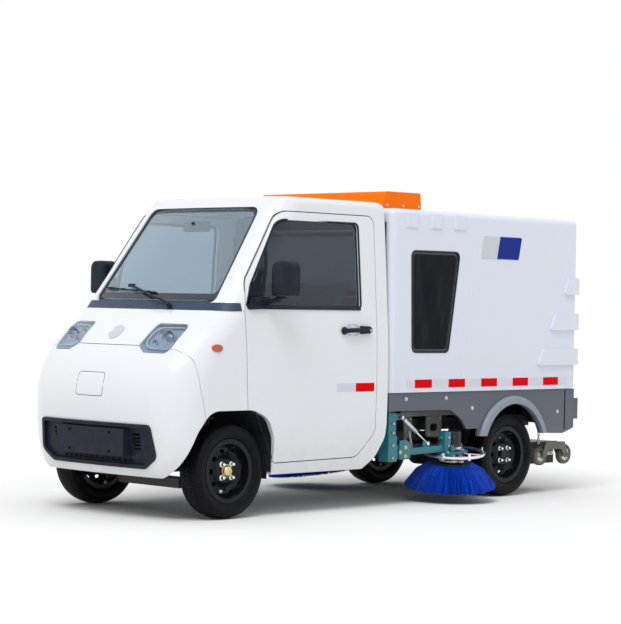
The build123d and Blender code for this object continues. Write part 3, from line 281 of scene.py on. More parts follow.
# ------------------------------------------------------------------ shader benches and shared effects
class Bench:
    """Short ways to add and join the nodes of one tree."""

    def __init__(self, tree: Group) -> None:
        """Starts on a tree."""
        self.tree = tree

    def start(self, output: str, shader: str) -> Node:
        """Empties the tree and joins a new shader to its output.

        Args:
            output: Type of the output node.
            shader: Type of the shader node.

        Returns:
            The shader.
        """
        self.tree.nodes.clear()
        end, made = self.node(output), self.node(shader)
        self.tree.links.new(made.outputs[0], end.inputs[0])
        return made

    def put(self, socket: Socket, value: object) -> None:
        """Joins a socket to another one, or sets its plain value.

        Args:
            socket: The input to feed.
            value: Another socket, a number, a triple or a text option.
        """
        if isinstance(value, Socket):
            self.tree.links.new(value, socket)
        else:
            colour = isinstance(value, tuple) and len(value) == 3 and socket.type == "RGBA"
            socket.default_value = (*value, 1) if colour else value

    def fill(self, node: Node, inputs: dict) -> None:
        """Gives sockets or plain values to a node's inputs, by name or number."""
        for key, value in inputs.items():
            self.put(node.inputs[key], value)

    def node(self, kind: str, inputs: Optional[dict] = None, **settings: object) -> Node:
        """Adds a shader node.

        Args:
            kind: The node's type, without its ShaderNode prefix.
            inputs: Values or sockets for its inputs, by name or number.
            settings: Its other settings.

        Returns:
            The new node.
        """
        made = self.tree.nodes.new("ShaderNode" + kind)
        for key, value in settings.items():
            setattr(made, key, value)
        self.fill(made, inputs or {})
        return made

    def maths(self, operation: str, *values: object, clamp: bool = False) -> Socket:
        """The result of a Math node."""
        return self.node("Math", dict(enumerate(values)), operation=operation, use_clamp=clamp).outputs[0]

    def span(self, value: object, low: float, high: float, start: float = 0.0, end: float = 1.0) -> Socket:
        """Maps a value from one range to another, held at its ends."""
        return self.node("MapRange", {0: value, 1: low, 2: high, 3: start, 4: end}).outputs[0]

    def noise(self, place: object, scale: object, detail: float = 2.0, rough: float = 0.5) -> Socket:
        """The height of a noise texture."""
        inputs = {"Vector": place, "Scale": scale, "Detail": detail, "Roughness": rough}
        return self.node("TexNoise", inputs).outputs[0]

    def blend(self, share: object, first: object, second: object) -> Socket:
        """A colour between two others.

        Args:
            share: Share of the second colour, a number or a socket.
            first: The colour at share 0.
            second: The colour at share 1.

        Returns:
            The mixed colour.
        """
        made = self.node("Mix", data_type="RGBA")
        self.fill(made, {0: share, 6: first, 7: second})
        return made.outputs[2]

    def stretch(self, place: object, scale: Point, turn: Point = (0, 0, 0)) -> Socket:
        """Coordinates that a Mapping node has turned and scaled."""
        return self.node("Mapping", {"Vector": place, "Rotation": tuple(turn), "Scale": tuple(scale)}).outputs[0]

    def effect(self, group: Group, **inputs: object) -> Socket:
        """The first output of a shared node group.

        Args:
            group: The node group.
            inputs: Values or sockets for the group's inputs by label.

        Returns:
            The group's result.
        """
        made = self.node("Group", node_tree=group)
        self.fill(made, inputs)
        return made.outputs[0]

    def bump(self, height: object, strength: float, distance: float) -> Socket:
        """The normal that a Bump node makes of a height."""
        return self.node("Bump", {"Height": height, "Strength": strength, "Distance": distance}).outputs[0]

    def apart(self, place: Socket) -> list[Socket]:
        """The three parts of coordinates."""
        return list(self.node("SeparateXYZ", {0: place}).outputs)

    def seen(self) -> Socket:
        """Whether a ray comes from the camera, a reflection or through glass.

        Returns:
            A mask that is 1 for such a ray.
        """
        rays = self.node("LightPath").outputs
        straight = self.maths("MAXIMUM", rays["Is Camera Ray"], rays["Is Glossy Ray"])
        return self.maths("MAXIMUM", straight, rays["Is Transmission Ray"])


Wiring = Callable[[Bench, dict], Socket]


def shared_effect(name: str, **inputs: Optional[float]) -> Callable[[Wiring], Callable[[], Group]]:
    """Turns a wiring into a function that gives its shader node group, which is built once.

    Args:
        name: The group's name.
        inputs: Default of each input, or None for coordinates.

    Returns:
        The decorator of the wiring, whose socket leaves the group as Result.
    """

    def decorate(wiring: Wiring) -> Callable[[], Group]:
        """Keeps the wiring for the first use.

        Args:
            wiring: Makes the group's inner nodes.

        Returns:
            The function that gives the group.
        """

        def give() -> Group:
            """The node group, built on first use.

            Returns:
                The group, shared by every material.
            """
            if name in bpy.data.node_groups:
                return bpy.data.node_groups[name]
            group = bpy.data.node_groups.new(name, "ShaderNodeTree")
            for label, value in inputs.items():
                kind = "NodeSocketVector" if value is None else "NodeSocketFloat"
                socket = group.interface.new_socket(label, in_out="INPUT", socket_type=kind)
                if value is not None:
                    socket.default_value = value
            group.interface.new_socket("Result", in_out="OUTPUT", socket_type="NodeSocketFloat")
            entry, leave = group.nodes.new("NodeGroupInput"), group.nodes.new("NodeGroupOutput")
            result = wiring(Bench(group), {label: entry.outputs[label] for label in inputs})
            group.links.new(result, leave.inputs["Result"])
            return group

        return give

    return decorate


@shared_effect("grime", Vector=None, Foot=0.3, Amount=0.2)
def grime_effect(bench: Bench, entry: dict) -> Socket:
    """Dirt that gathers low down and in faint patches, as a mask.

    Args:
        bench: Where the group's nodes are made.
        entry: The group's inputs by label.

    Returns:
        The mask.
    """
    place = entry["Vector"]
    low = bench.span(bench.maths("SUBTRACT", bench.apart(place)[2], entry["Foot"]), 0.30, -0.05)
    cloud = bench.span(bench.noise(place, 9.0, 6.0, 0.62), 0.42, 0.72)
    fleck = bench.span(bench.noise(place, 70.0, 4.0, 0.7), 0.5, 0.75)
    both = bench.maths("ADD", bench.maths("MULTIPLY", low, bench.maths("ADD", cloud, 0.35)),
                       bench.maths("MULTIPLY", fleck, bench.maths("MULTIPLY", cloud, 0.45)))
    return bench.maths("MULTIPLY", both, entry["Amount"], clamp=True)


@shared_effect("paint_peel", Vector=None, Scale=260.0)
def peel_effect(bench: Bench, entry: dict) -> Socket:
    """The faint ripple of sprayed paint, a long wave and a short one, as a height.

    Args:
        bench: Where the group's nodes are made.
        entry: The group's inputs by label.

    Returns:
        The height.
    """
    short = bench.noise(entry["Vector"], entry["Scale"], 1.0)
    wide = bench.noise(entry["Vector"], bench.maths("MULTIPLY", entry["Scale"], 0.07), 1.0)
    return bench.maths("MULTIPLY_ADD", wide, 2.0, short)


@shared_effect("moulded_grain", Vector=None, Scale=600.0)
def grain_effect(bench: Bench, entry: dict) -> Socket:
    """The pebbled grain of moulded plastic or rubber, as a height.

    Args:
        bench: Where the group's nodes are made.
        entry: The group's inputs by label.

    Returns:
        The height.
    """
    cells = bench.node("TexVoronoi", {"Vector": entry["Vector"], "Scale": entry["Scale"]}).outputs[0]
    fine = bench.noise(entry["Vector"], bench.maths("MULTIPLY", entry["Scale"], 2.3), 3.0, 0.6)
    return bench.maths("MULTIPLY_ADD", cells, 0.6, fine)


@shared_effect("scuffs", Vector=None, Scale=60.0, Amount=0.5)
def scuff_effect(bench: Bench, entry: dict) -> Socket:
    """Fine rubbed lines and worn spots, as a mask.

    Args:
        bench: Where the group's nodes are made.
        entry: The group's inputs by label.

    Returns:
        The mask.
    """
    lines = bench.span(bench.noise(bench.stretch(entry["Vector"], (1, 1, 9)), entry["Scale"], 5.0, 0.7), 0.60, 0.74)
    wide = bench.maths("MULTIPLY", entry["Scale"], 0.35)
    spots = bench.span(bench.noise(entry["Vector"], wide, 6.0, 0.7), 0.58, 0.70)
    return bench.maths("MULTIPLY", bench.maths("MAXIMUM", lines, spots), entry["Amount"], clamp=True)


@shared_effect("cloth_weave", Vector=None, Threads=160.0)
def weave_effect(bench: Bench, entry: dict) -> Socket:
    """Sets of threads that cross, as a height.

    Args:
        bench: Where the group's nodes are made.
        entry: The group's inputs by label.

    Returns:
        The height.
    """
    waves = [bench.node("TexWave", {"Vector": entry["Vector"], "Scale": entry["Threads"], "Distortion": 0.4},
                        bands_direction=direction).outputs[1] for direction in ("X", "Y", "Z")]
    return bench.maths("MAXIMUM", bench.maths("MAXIMUM", waves[0], waves[1]), waves[2])


# ------------------------------------------------------------------ finishes
DUST = from_display(150, 143, 130)
RUST = from_display(104, 62, 38)


def toned(colour: Colour, share: float, more: float = 0.0) -> Colour:
    """A colour times a share, plus a little more."""
    return tuple(min(1.0, level * share + more) for level in colour)


@dataclass(frozen=True)
class Finish:
    """What every finish has: a name, the record's slot, a colour, a roughness and its share of dirt."""

    name: str
    slot: Slot
    colour: Colour
    roughness: float = 0.4
    dirt: float = 0.25
    foot: float = 0.25

    def material(self) -> bpy.types.Material:
        """The finish's material, built on first use."""
        return bpy.data.materials.get(self.name) or self.make()

    def make(self) -> bpy.types.Material:
        """Builds the material round one shader.

        Returns:
            The new material.
        """
        material = bpy.data.materials.new(self.name)
        material.use_nodes = True
        material.diffuse_color = (*self.colour, 1)
        bench = Bench(material.node_tree)
        shader = bench.start("OutputMaterial", "BsdfPrincipled")
        self.dress(bench, shader, bench.node("TexCoord").outputs["Object"])
        return material

    def soil(self, bench: Bench, shader: Node, place: Socket, colour: object = None, rougher: float = 0.25) -> None:
        """Lays grime over the base colour and dulls the surface where it lies.

        Args:
            bench: The bench of the material's tree.
            shader: The shader that takes the colour.
            place: The coordinates.
            colour: The clean colour or its socket, or None for the finish's own.
            rougher: How much the grime adds to the roughness.
        """
        grime = bench.effect(grime_effect(), Vector=place, Foot=self.foot, Amount=self.dirt)
        clean = self.colour if colour is None else colour
        bench.fill(shader, {"Base Color": bench.blend(grime, clean, DUST),
                            "Roughness": bench.span(grime, 0, 1, self.roughness, self.roughness + rougher)})

    def dress(self, bench: Bench, shader: Node, place: Socket) -> None:
        """Wires the finish's own look."""
        self.soil(bench, shader, place)


@dataclass(frozen=True)
class Paint(Finish):
    """Sprayed paint, with its ripple and clear coat."""

    coat: float = 0.6
    ripple: float = 0.05
    metallic: float = 0.0
    gloss: float = 0.5

    def tone(self, bench: Bench, place: Socket) -> object:
        """The clean colour."""
        return self.colour

    def dress(self, bench: Bench, shader: Node, place: Socket) -> None:
        """Wires colour, ripple and coat.

        Args:
            bench: Where the nodes are made.
            shader: The surface shader to dress.
            place: Coordinates on the piece.
        """
        self.soil(bench, shader, place, self.tone(bench, place))
        height = bench.effect(peel_effect(), Vector=place)
        bench.fill(shader, {"Coat Weight": self.coat, "Coat Roughness": 0.06, "Metallic": self.metallic,
                            "Specular IOR Level": self.gloss, "Normal": bench.bump(height, self.ripple, 0.001)})


@dataclass(frozen=True)
class SkirtPaint(Paint):
    """Skirt paint, with the arch flare in a lighter grey."""

    flare_colour: Colour = (0.5, 0.5, 0.5)
    flare_radius: float = 0.3385
    flare_z: float = 0.275
    face_x: float = 0.6168

    def tone(self, bench: Bench, place: Socket) -> Socket:
        """The flare's colour where a point stands proud of the skirt and near the wheel.

        Args:
            bench: Where the nodes are made.
            place: Coordinates on the piece.

        Returns:
            The colour.
        """
        x, y, z = bench.apart(place)
        out = bench.maths("GREATER_THAN", bench.maths("ABSOLUTE", x), self.face_x)
        along, up = (bench.maths("POWER", bench.maths("SUBTRACT", part, centre), 2.0)
                     for part, centre in ((y, REAR_AXLE.y), (z, self.flare_z)))
        near = bench.maths("LESS_THAN", bench.maths("SQRT", bench.maths("ADD", along, up)), self.flare_radius)
        return bench.blend(bench.maths("MULTIPLY", out, near), self.colour, self.flare_colour)


@dataclass(frozen=True)
class PlatePaint(Paint):
    """A two-tone plate whose colours meet on a slanted line."""

    second: Colour = (0.02, 0.08, 0.5)
    split_y: float = 0.0
    split_z: float = 1.5
    slant: float = -0.22

    def tone(self, bench: Bench, place: Socket) -> Socket:
        """The second colour behind the slanted line.

        Args:
            bench: Where the nodes are made.
            place: Coordinates on the piece.

        Returns:
            The colour.
        """
        y, z = bench.apart(place)[1:]
        lean = bench.maths("MULTIPLY", bench.maths("SUBTRACT", z, self.split_z), self.slant)
        line = bench.maths("ADD", bench.maths("SUBTRACT", y, self.split_y), lean)
        return bench.blend(bench.maths("GREATER_THAN", line, 0.0), self.colour, self.second)


@dataclass(frozen=True)
class Moulding(Finish):
    """Moulded plastic or rubber, with a pebbled grain."""

    grain: float = 600.0
    depth: float = 0.25
    gloss: float = 0.5

    def dress(self, bench: Bench, shader: Node, place: Socket) -> None:
        """Wires colour, grain and gloss.

        Args:
            bench: Where the nodes are made.
            shader: The surface shader to dress.
            place: Coordinates on the piece.
        """
        worn = bench.span(bench.noise(place, 26.0, 5.0, 0.6), 0.3, 0.75)
        self.soil(bench, shader, place, bench.blend(worn, self.colour, toned(self.colour, 1.35, 0.004)), 0.2)
        height = bench.effect(grain_effect(), Vector=place, Scale=self.grain)
        bench.fill(shader, {"Specular IOR Level": self.gloss, "Normal": bench.bump(height, self.depth, 0.0006)})


@dataclass(frozen=True)
class Metal(Finish):
    """Bare or plated metal, with scuffs and, where it is iron, rust."""

    rust: float = 0.0
    brushed: float = 0.12

    def dress(self, bench: Bench, shader: Node, place: Socket) -> None:
        """Wires colour, scuffs and rust.

        Args:
            bench: Where the nodes are made.
            shader: The surface shader to dress.
            place: Coordinates on the piece.
        """
        scuffs = bench.effect(scuff_effect(), Vector=place, Scale=90.0, Amount=0.7)
        rusted = bench.maths("MULTIPLY", bench.span(bench.noise(place, 38.0, 7.0, 0.7), 0.46, 0.62), self.rust)
        bare = bench.blend(scuffs, self.colour, toned(self.colour, 0.72))
        bench.fill(shader, {"Base Color": bench.blend(rusted, bare, RUST),
                            "Metallic": bench.maths("SUBTRACT", 1.0, rusted, clamp=True)})
        rough = bench.maths("MULTIPLY_ADD", scuffs, 0.22, self.roughness)
        bench.fill(shader, {"Roughness": bench.maths("ADD", rough, bench.maths("MULTIPLY", rusted, 0.4))})
        height = bench.noise(bench.stretch(place, (1, 1, 6)), 340.0, 3.0)
        bench.fill(shader, {"Normal": bench.bump(height, self.brushed, 0.0004)})


@dataclass(frozen=True)
class Glass(Finish):
    """Tinted glass, which lets light through to what stands behind it."""

    shade: float = 0.85
    wave: float = 0.0
    gloss: float = 0.5
    clear: float = 1.0

    def dress(self, bench: Bench, shader: Node, place: Socket) -> None:
        """Wires tint, film waves and the light that passes.

        Args:
            bench: Where the nodes are made.
            shader: The surface shader to dress.
            place: Coordinates on the piece.
        """
        smear = bench.span(bench.noise(place, 14.0, 5.0, 0.6), 0.45, 0.8, self.roughness, self.roughness + 0.04)
        haze = bench.span(bench.noise(place, 5.0, 3.0), 0.3, 0.8, 0.0, 0.12)
        bench.fill(shader, {"Roughness": smear, "Base Color": bench.blend(haze, self.colour, toned(self.colour, 0.8)),
                            "Transmission Weight": self.clear, "Specular IOR Level": self.gloss, "IOR": 1.45})
        rays = bench.node("LightPath").outputs
        passing = bench.maths("MAXIMUM", rays["Is Shadow Ray"], rays["Is Diffuse Ray"])
        bench.fill(shader, {"Alpha": bench.maths("MULTIPLY_ADD", passing, -self.shade, 1.0)})
        if self.wave:
            film = bench.noise(bench.stretch(place, (1, 1, 0.6)), 7.0, 2.0, 0.4)
            bench.fill(shader, {"Normal": bench.bump(film, self.wave, 0.03)})


@dataclass(frozen=True)
class Lens(Finish):
    """A coloured lamp lens with fine ribs inside."""

    clear: float = 0.5
    ribs: float = 90.0

    def dress(self, bench: Bench, shader: Node, place: Socket) -> None:
        """Wires colour and ribs.

        Args:
            bench: Where the nodes are made.
            shader: The surface shader to dress.
            place: Coordinates on the piece.
        """
        self.soil(bench, shader, place, rougher=0.1)
        ribs = bench.node("TexWave", {"Vector": place, "Scale": self.ribs, "Distortion": 0.0},
                          bands_direction="Z").outputs[1]
        bench.fill(shader, {"Transmission Weight": self.clear, "Coat Weight": 0.5,
                            "Normal": bench.bump(ribs, 0.2, 0.001)})


@dataclass(frozen=True)
class Cloth(Finish):
    """Woven seat cloth with a soft sheen."""

    threads: float = 220.0

    def dress(self, bench: Bench, shader: Node, place: Socket) -> None:
        """Wires threads and tone.

        Args:
            bench: Where the nodes are made.
            shader: The surface shader to dress.
            place: Coordinates on the piece.
        """
        weave = bench.effect(weave_effect(), Vector=place, Threads=self.threads)
        self.soil(bench, shader, place, bench.blend(weave, toned(self.colour, 0.6), self.colour), 0.1)
        bench.fill(shader, {"Sheen Weight": 0.25, "Normal": bench.bump(weave, 0.4, 0.0008)})


@dataclass(frozen=True)
class Tape(Finish):
    """Reflective tape with a fine grid of cells under its face."""

    cell: float = 260.0

    def dress(self, bench: Bench, shader: Node, place: Socket) -> None:
        """Wires colour and cells.

        Args:
            bench: Where the nodes are made.
            shader: The surface shader to dress.
            place: Coordinates on the piece.
        """
        turned = bench.stretch(place, (1, 1, 1), (math.radians(45), 0, 0))
        cells = bench.node("TexVoronoi", {"Vector": turned, "Scale": self.cell}, distance="MANHATTAN").outputs[0]
        tone = bench.blend(bench.span(cells, 0.2, 0.8), self.colour, toned(self.colour, 0.84))
        self.soil(bench, shader, place, tone)
        bench.fill(shader, {"Specular IOR Level": 0.05, "Normal": bench.bump(cells, 0.12, 0.0005)})


@dataclass(frozen=True)
class BristleFinish(Finish):
    """Nylon strands whose tone changes from strand to strand round the brush; the dark streaks are partly painted shade
    between the strands.
    """

    head: tuple[float, float, float] = (0, 0, 0)
    # deep: the dark streak colour, partly darker strands and partly painted shade between the strands.
    deep: Colour = (0.0, 0.02, 0.2)

    def dress(self, bench: Bench, shader: Node, place: Socket) -> None:
        """Wires streaks that follow the strands: partly random strand tone, partly painted shade in the dark streaks.

        Args:
            bench: Where the nodes are made.
            shader: The surface shader to dress.
            place: Coordinates on the piece.
        """
        moved = bench.node("VectorMath", {0: place, 1: tuple(-c for c in self.head)}, operation="ADD").outputs[0]
        x, y, z = bench.apart(moved)
        angle = bench.maths("ARCTAN2", y, x)
        ring = bench.node("CombineXYZ", {0: bench.maths("MULTIPLY", angle, 40.0),
                                         1: bench.maths("MULTIPLY", z, 4.0)}).outputs[0]
        # Painted shade: the dark streaks stand for shade between the strands as well as for their own tone.
        strand_tone_and_shade = bench.span(bench.noise(ring, 1.0, 4.0, 0.75), 0.34, 0.68)
        bench.fill(shader, {"Base Color": bench.blend(strand_tone_and_shade, self.deep, self.colour), "Roughness": self.roughness,
                            "Specular IOR Level": 0.2, "Normal": bench.bump(strand_tone_and_shade, 0.3, 0.002)})


CAB_WHITE = Paint("cab_white", Slot.WHITE_PAINT, (0.765, 0.795, 0.825), 0.3, dirt=0.16, foot=0.22, coat=0.8)
BOX_WHITE = Paint("box_white", Slot.WHITE_PAINT, (0.72, 0.755, 0.86), 0.36, dirt=0.10, foot=0.62, coat=0.4,
                  ripple=0.09)
SKIRT_GREY = SkirtPaint("skirt_grey", Slot.GREY_PAINT, from_display(82, 88, 101), 0.45, dirt=0.12, foot=0.36,
                        coat=0.05, flare_colour=from_display(132, 142, 156))
ORANGE = Paint("fairing_orange", Slot.ORANGE_PAINT, (0.98, 0.185, 0.0), 0.45, dirt=0.01, foot=1.6, coat=0.0,
               gloss=0.12)
TEAL = Paint("arm_teal", Slot.TEAL_PAINT, (0.001, 0.165, 0.215), 0.34, dirt=0.16, foot=0.15, coat=0.25, ripple=0.12)
FRAME_BLACK = Paint("frame_black", Slot.FRAME_PAINT, (0.014, 0.015, 0.018), 0.5, dirt=0.12, foot=0.2, coat=0.05,
                    gloss=0.25)
HANGER_GREY = Paint("hanger_grey", Slot.FRAME_PAINT, from_display(140, 142, 138), 0.5, dirt=0.5, coat=0.1)
IRON = Metal("cast_iron", Slot.AXLE_IRON, (0.07, 0.07, 0.07), 0.5, rust=0.25, brushed=0.3)
RIM_BLACK = Paint("rim_black", Slot.RIM_PAINT, (0.005, 0.006, 0.008), 0.2, dirt=0.01, foot=0.0, coat=0.15,
                  gloss=0.14)
TYRE_BLACK = Moulding("tyre_rubber", Slot.TYRE, (0.003, 0.0032, 0.0045), 0.5, dirt=0.008, foot=0.0, grain=420.0,
                      gloss=0.10)
CASTER_BLACK = Moulding("caster_tread", Slot.CASTER_RUBBER, (0.018, 0.018, 0.02), 0.6, dirt=0.5, gloss=0.3)
RUBBER = Moulding("seal_rubber", Slot.BLACK_RUBBER, (0.008, 0.010, 0.014), 0.5, dirt=0.04, gloss=0.25)
BLACK = Moulding("trim_black", Slot.BLACK_PLASTIC, from_display(28, 33, 44), 0.42, dirt=0.02, grain=520.0,
                 gloss=0.12)
COWL_BLACK = Moulding("cowl_slate", Slot.BLACK_PLASTIC, from_display(44, 60, 80), 0.38, dirt=0.02, gloss=0.25)
LINER_BLACK = Moulding("liner_black", Slot.BLACK_PLASTIC, (0.006, 0.008, 0.010), 0.6, dirt=0.05, gloss=0.12)
# Painted shade: near-black sheets that stand for the shade inside grille slots and openings.
HOLE_SHADE_BLACK = Moulding("painted_hole_shade", Slot.BLACK_PLASTIC, (0.002, 0.002, 0.003), 0.8, dirt=0.0, gloss=0.05)
FRIT = Moulding("glass_frit", Slot.BLACK_PLASTIC, from_display(34, 42, 56), 0.12, dirt=0.0, grain=900.0, depth=0.02)
DASH = Moulding("dash_grain", Slot.DASH_PLASTIC, from_display(84, 98, 112), 0.55, dirt=0.0)
LINING = Moulding("cab_lining", Slot.DASH_PLASTIC, from_display(112, 120, 128), 0.7, dirt=0.0, grain=300.0)
MAT = Moulding("floor_mat", Slot.BLACK_RUBBER, (0.02, 0.021, 0.024), 0.8, dirt=0.3, foot=0.3, grain=200.0)
SEAT = Cloth("seat_weave", Slot.SEAT_CLOTH, from_display(92, 112, 134), 0.8, dirt=0.0)
# The windscreen tint is real glass tint, made bluer as a painted reflection of the sky.
SCREEN = Glass("screen_glass", Slot.CLEAR_GLASS, from_display(214, 236, 252), 0.0, shade=1.0, clear=0.90)
DOOR_PANE = Glass("door_pane", Slot.CLEAR_GLASS, from_display(132, 142, 152), 0.0, shade=0.9, gloss=0.4)
BOX_PANE = Glass("box_pane", Slot.DARK_GLASS, (0.002, 0.004, 0.008), 0.03, shade=0.0, wave=0.5, gloss=0.12,
                 clear=0.0)
LAMP_LENS = Glass("lamp_lens", Slot.LENS, from_display(214, 224, 234), 0.06, shade=0.9, gloss=0.3)
LAMP_GUIDE = Moulding("lamp_guide", Slot.LENS, from_display(166, 180, 196), 0.3, dirt=0.0, grain=900.0, depth=0.02)
LAMP_BOWL = Moulding("lamp_bowl", Slot.LENS, from_display(136, 152, 170), 0.35, dirt=0.0, grain=900.0, depth=0.05)
LAMP_CORE = Metal("lamp_core", Slot.LENS, (0.30, 0.36, 0.43), 0.5)
AMBER = Lens("amber_lens_cap", Slot.AMBER_LENS, (0.62, 0.10, 0.003), 0.18, dirt=0.0, clear=0.25)
RED_LENS = Lens("red_lens_cap", Slot.RED_LENS, (0.5, 0.006, 0.006), 0.15, dirt=0.1, clear=0.25)
CLEAR_LENS = Lens("clear_lens_cap", Slot.LENS, (0.75, 0.77, 0.8), 0.15, dirt=0.1, clear=0.4)
STEEL = Metal("zinc_steel", Slot.BRIGHT_STEEL, (0.62, 0.62, 0.60), 0.34)
CHROME = Metal("chrome", Slot.CHROME_PLATE, (0.88, 0.89, 0.91), 0.24, brushed=0.03)
BRASS = Metal("brass", Slot.BRASS_CAP, (0.74, 0.62, 0.30), 0.3)
RED_TAPE = Tape("red_reflective", Slot.RED_TAPE, (0.82, 0.0, 0.002), 0.5, dirt=0.02)
WHITE_TAPE = Tape("white_reflective", Slot.WHITE_TAPE, (0.76, 0.78, 0.86), 0.35, dirt=0.03)
BADGE = PlatePaint("badge_plate", Slot.BLUE_PLATE, (0.60, 0.63, 0.68), 0.35, dirt=0.02, foot=1.2, coat=0.0, gloss=0.15,
                   second=(0.001, 0.020, 0.24), split_y=behind(2.150), split_z=1.502)
EMBLEM = Paint("emblem_silver", Slot.BRIGHT_STEEL, (0.58, 0.60, 0.63), 0.3, dirt=0.05, metallic=0.3)
NOZZLE_KHAKI = Paint("nozzle_khaki", Slot.NOZZLE_PAINT, from_display(100, 99, 86), 0.45, dirt=0.2, foot=0.0,
                     coat=0.1, metallic=0.3)
BATTERY = Moulding("battery_case_black", Slot.BATTERY_CASE, (0.03, 0.032, 0.036), 0.5)
MIRROR = Metal("mirror_silver", Slot.MIRROR_FACE, (0.85, 0.87, 0.88), 0.02, brushed=0.0)
# Painted shade: grey on the white-painted handle recess for the shade inside it.
CUP_SHADE_GREY = Moulding("cup_painted_shade", Slot.WHITE_PAINT, from_display(168, 178, 188), 0.4, dirt=0.0, depth=0.05)
WHITE_PLATE = Paint("blank_plate_white", Slot.WHITE_PAINT, (0.62, 0.63, 0.64), 0.4, dirt=0.3, foot=0.8, coat=0.2)
CAST_SILVER = Metal("cast_silver", Slot.BRIGHT_STEEL, (0.66, 0.68, 0.70), 0.42, rust=0.08, brushed=0.4)
MOTOR_DARK = Paint("motor_dark", Slot.FRAME_PAINT, (0.014, 0.016, 0.020), 0.4, dirt=0.12, foot=0.1, coat=0.1,
                   gloss=0.3)
# Painted shade: a very dark blue for the cone inside the brush, where the strands lie in shade.
BRISTLE_CORE_SHADE = Moulding("bristle_core_painted_shade", Slot.BRISTLE, (0.001, 0.010, 0.10), 0.8, dirt=0.0, gloss=0.1)
# The bristles' deep colour is partly painted shade between the strands.
BRISTLES = BristleFinish("bristle_blue", Slot.BRISTLE, (0.006, 0.105, 0.86), 0.5, head=(0.580, behind(1.800), 0.226),
                         deep=(0.001, 0.011, 0.11))
PIPING = Cloth("seat_piping", Slot.SEAT_CLOTH, from_display(96, 104, 116), 0.8, dirt=0.0)

NODE_FINISHES: dict[str, Finish] = {node: finish for finish, nodes in (
    (CAB_WHITE, "cab_shell nose_cover door_left door_right"),
    (BOX_WHITE, "box_body rear_door"),
    (SKIRT_GREY, "box_skirts rear_bumper"),
    (ORANGE, "roof_fairing"),
    (TEAL, "brush_post_left brush_post_right brush_brackets"),
    (FRAME_BLACK, "chassis_frame front_frame box_bearers suction_duct"),
    (IRON, "front_suspension rear_suspension knuckle_left knuckle_right"),
    (BLACK, "front_grille steering_wheel"),
    (COWL_BLACK, "cab_cowl"),
    (DASH, "dashboard seat_plinths"),
    (SCREEN, "cab_glass"),
    (DOOR_PANE, "door_glass_left door_glass_right"),
    (BOX_PANE, "box_windows"),
    (AMBER, "side_repeaters"),
    (RED_LENS, "tail_lamps"),
    (BATTERY, "battery_pack"),
    (NOZZLE_KHAKI, "suction_nozzle"),
    (RIM_BLACK, "rim_front_left rim_front_right rim_rear_left rim_rear_right"),
) for node in nodes.split()}


